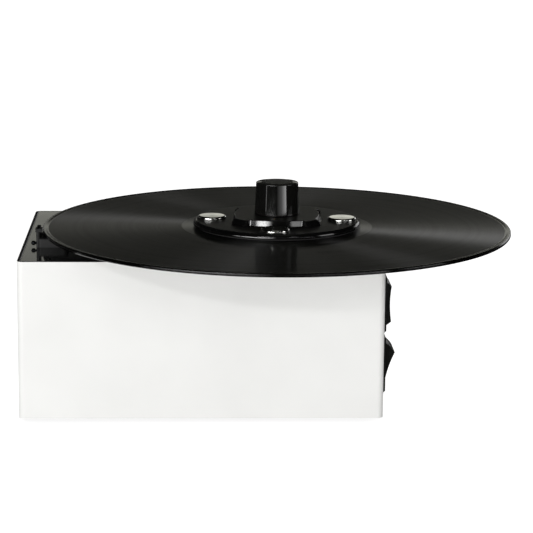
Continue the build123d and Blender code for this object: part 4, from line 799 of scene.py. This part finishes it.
# Each softbox: azimuth from the front towards the right and elevation in degrees, distance, width
# and height in metres, radiance as seen with white at 1, and how its light changes from its left
# edge to its right, as seen from the machine.
LAMPS = {
    "key": (-21, 23.5, 1.8, 0.60, 0.07, 32.0,
            ((0.0, "#808080"), (0.25, "#FFFFFF"), (0.6, "#FFFFFF"), (1.0, "#404040"))),
    "front_main": (-33, 3.5, 2.2, 2.4, 0.38, 14.5,
                   ((0.0, "#808080"), (0.3, "#FFFFFF"), (0.6, "#FFFFFF"), (1.0, "#707070"))),
    "right_small": (21, 23.5, 1.8, 0.36, 0.14, 4.5, None),
    "side_fill": (70, 14, 2.0, 0.8, 0.7, 3.6, None),
    "back_right": (150, 11, 6.0, 2.7, 1.5, 1.2, None),
    "right_low": (22, -1.5, 0.9, 0.85, 0.14, 6.4,
                  ((0.0, "#000000"), (0.5, "#808080"), (1.0, "#FFFFFF"))),
    "left_low": (-61, -1.5, 0.9, 0.04, 0.14, 3.0, None),
}
# The photo's camera as it was fitted: place in metres, turns, focal length and image side in
# pixels, and a full-frame sensor's width in mm.
CAMERA_PLACE = Vector((-0.05408, -1.32194, 0.36216))
CAMERA_PITCH = math.radians(11.853)
CAMERA_YAW = math.radians(2.319)
CAMERA_ROLL = math.radians(0.509)
FOCAL_PIXELS = 2079.15
IMAGE_SIDE = 533
SENSOR = 36.0


def rays(tree):
    """Which rays come from the camera, and which come from gloss or glass, as sockets."""
    sight = add(tree, "ShaderNodeLightPath").outputs
    mirrored = add(tree, "ShaderNodeMath", {0: sight["Is Glossy Ray"],
                                            1: sight["Is Transmission Ray"]}, operation="MAXIMUM")
    return sight["Is Camera Ray"], mirrored.outputs[0]


def floor():
    """Plain pale floor: white to the eye; in gloss, pale behind, and in front painted black as a
    dark reflection.
    """
    made, tree, surface, place = blank("matt_pale_floor", Roughness=0.9, Specular_IOR_Level=0.0,
                                       Emission_Color=(1, 1, 1, 1))
    # Clouds some 0.3 m wide, hardly to be seen, keep the paper from being perfectly even.
    cloud = add(tree, "ShaderNodeTexNoise", {"Vector": place, "Scale": 3.0, "Detail": 2.0})
    tone = add(tree, "ShaderNodeValToRGB", {"Fac": cloud.outputs["Fac"]},
               stops=((0.3, "#BEBEBC"), (0.7, "#C2C2C0")))
    along = add(tree, "ShaderNodeSeparateXYZ", {0: place}).outputs["Y"]
    # In front of the machine and under it; the floor turns pale 0.8 to 1.6 m behind it.
    ahead = add(tree, "ShaderNodeMapRange", {"Value": along, "From Min": 1.6,
                                             "From Max": 0.8}).outputs[0]
    behind = add(tree, "ShaderNodeMapRange", {"Value": ahead, "To Min": FLOOR_IN_GLOSS,
                                              "To Max": 0.0}).outputs[0]
    direct, mirrored = rays(tree)
    seen = add(tree, "ShaderNodeMath", {0: direct, 1: FLOOR_TO_EYE},
               operation="MULTIPLY").outputs[0]
    glow = add(tree, "ShaderNodeMath", {0: mirrored, 1: behind, 2: seen},
               operation="MULTIPLY_ADD").outputs[0]
    # Painted dark reflection: gloss rays see the floor in front of the machine as black.
    dark_reflection_mask = add(tree, "ShaderNodeMath", {0: mirrored, 1: ahead}, operation="MULTIPLY").outputs[0]
    paint = add(tree, "ShaderNodeMix", {"Factor": dark_reflection_mask, 6: tone.outputs["Color"],
                                        7: linear(PAINTED_DARK_REFLECTION)}, data_type="RGBA").outputs[2]
    feed(tree, surface, Base_Color=paint, Emission_Strength=glow)
    made.cycles.emission_sampling = "NONE"
    mesh = bpy.data.meshes.new("floor")
    mesh.from_pydata([(x * FLOOR_HALF, y * FLOOR_HALF, 0)
                      for x, y in ((-1, -1), (1, -1), (1, 1), (-1, 1))], [], [(0, 1, 2, 3)])
    mesh.materials.append(made)
    linked("floor", mesh)


def studio():
    """Even soft room light, white behind; to the eye the room is white.

    In gloss it is a pale band low down, lit most near its middle, under a dark ceiling with a
    pale patch overhead.
    """
    world = bpy.data.worlds.new("studio")
    world.use_nodes = True
    bpy.context.scene.world = world
    tree = world.node_tree
    tree.nodes.clear()
    aim = add(tree, "ShaderNodeTexCoord").outputs["Generated"]
    parts = add(tree, "ShaderNodeSeparateXYZ", {0: aim}).outputs
    lift = parts["Z"]
    aside = add(tree, "ShaderNodeMapRange", {"Value": parts["X"], "From Min": -0.5,
                                             "From Max": 0.5}).outputs[0]
    rise = add(tree, "ShaderNodeValToRGB", {"Fac": lift}, stops=WALLS_IN_GLOSS).outputs["Color"]
    pool = add(tree, "ShaderNodeValToRGB", {"Fac": aside}, stops=POOL_OF_LIGHT).outputs["Color"]
    walls = add(tree, "ShaderNodeMix", {"Factor": 1.0, 6: rise, 7: pool}, data_type="RGBA",
                blend_type="MULTIPLY").outputs[2]
    back = add(tree, "ShaderNodeMapRange", {"Value": parts["Y"], "From Min": 0.1,
                                            "From Max": 0.8}).outputs[0]
    ahead = add(tree, "ShaderNodeValToRGB", {"Fac": lift}, stops=ROOM_LIGHT).outputs["Color"]
    light = add(tree, "ShaderNodeMix", {"Factor": back, 6: ahead, 7: linear(ROOM_BEHIND)},
                data_type="RGBA").outputs[2]
    direct, mirrored = rays(tree)
    even = add(tree, "ShaderNodeMix", {"Factor": direct, 6: light, 7: (1.0, 1.0, 1.0, 1.0)},
               data_type="RGBA").outputs[2]
    shown = add(tree, "ShaderNodeMix", {"Factor": mirrored, 6: even, 7: walls},
                data_type="RGBA").outputs[2]
    glow = add(tree, "ShaderNodeBackground", {"Color": shown, "Strength": 1.0})
    add(tree, "ShaderNodeOutputWorld", {"Surface": glow.outputs[0]})
    world.cycles.sampling_method = "NONE"


def softbox(name, azimuth, elevation, distance, width, height, radiance, across):
    """Rectangular softbox, placed by its direction from the machine and turned to face it."""
    lamp = bpy.data.lights.new(name, "AREA")
    lamp.shape = "RECTANGLE"
    lamp.size = width
    lamp.size_y = height
    lamp.energy = radiance * math.pi * width * height
    made = bpy.data.objects.new(name, lamp)
    bpy.context.scene.collection.objects.link(made)
    turn, lift = math.radians(azimuth), math.radians(elevation)
    away = Vector((math.sin(turn) * math.cos(lift), -math.cos(turn) * math.cos(lift),
                   math.sin(lift)))
    made.location = LAMPS_AIM + distance * away
    made.rotation_euler = away.to_track_quat("Z", "Y").to_euler()
    if across:
        lamp.use_nodes = True
        tree = lamp.node_tree
        side = add(tree, "ShaderNodeNewGeometry").outputs["Parametric"]
        share = add(tree, "ShaderNodeSeparateXYZ", {0: side}).outputs["X"]
        fade = add(tree, "ShaderNodeValToRGB", {"Fac": share}, stops=across).outputs["Color"]
        feed(tree, tree.nodes["Emission"], Strength=fade)


def camera():
    """Camera with a long lens, a little above the machine and left of its middle."""
    ahead = Vector((math.sin(CAMERA_YAW) * math.cos(CAMERA_PITCH),
                    math.cos(CAMERA_YAW) * math.cos(CAMERA_PITCH), -math.sin(CAMERA_PITCH)))
    right = Vector((math.cos(CAMERA_YAW), -math.sin(CAMERA_YAW), 0))
    up = right.cross(ahead)
    turned_right = math.cos(CAMERA_ROLL) * right + math.sin(CAMERA_ROLL) * up
    turned_up = -math.sin(CAMERA_ROLL) * right + math.cos(CAMERA_ROLL) * up
    lens = bpy.data.cameras.new("camera")
    lens.sensor_width = SENSOR
    lens.lens = FOCAL_PIXELS / IMAGE_SIDE * SENSOR
    lens.clip_end = 100
    made = bpy.data.objects.new("camera", lens)
    bpy.context.scene.collection.objects.link(made)
    turn = Matrix((turned_right, turned_up, -ahead)).transposed().to_4x4()
    made.matrix_world = Matrix.Translation(CAMERA_PLACE) @ turn
    bpy.context.scene.camera = made


floor()
studio()
for lamp_name, setting in LAMPS.items():
    softbox(lamp_name, *setting)
camera()
bpy.context.scene.view_settings.view_transform = "Standard"
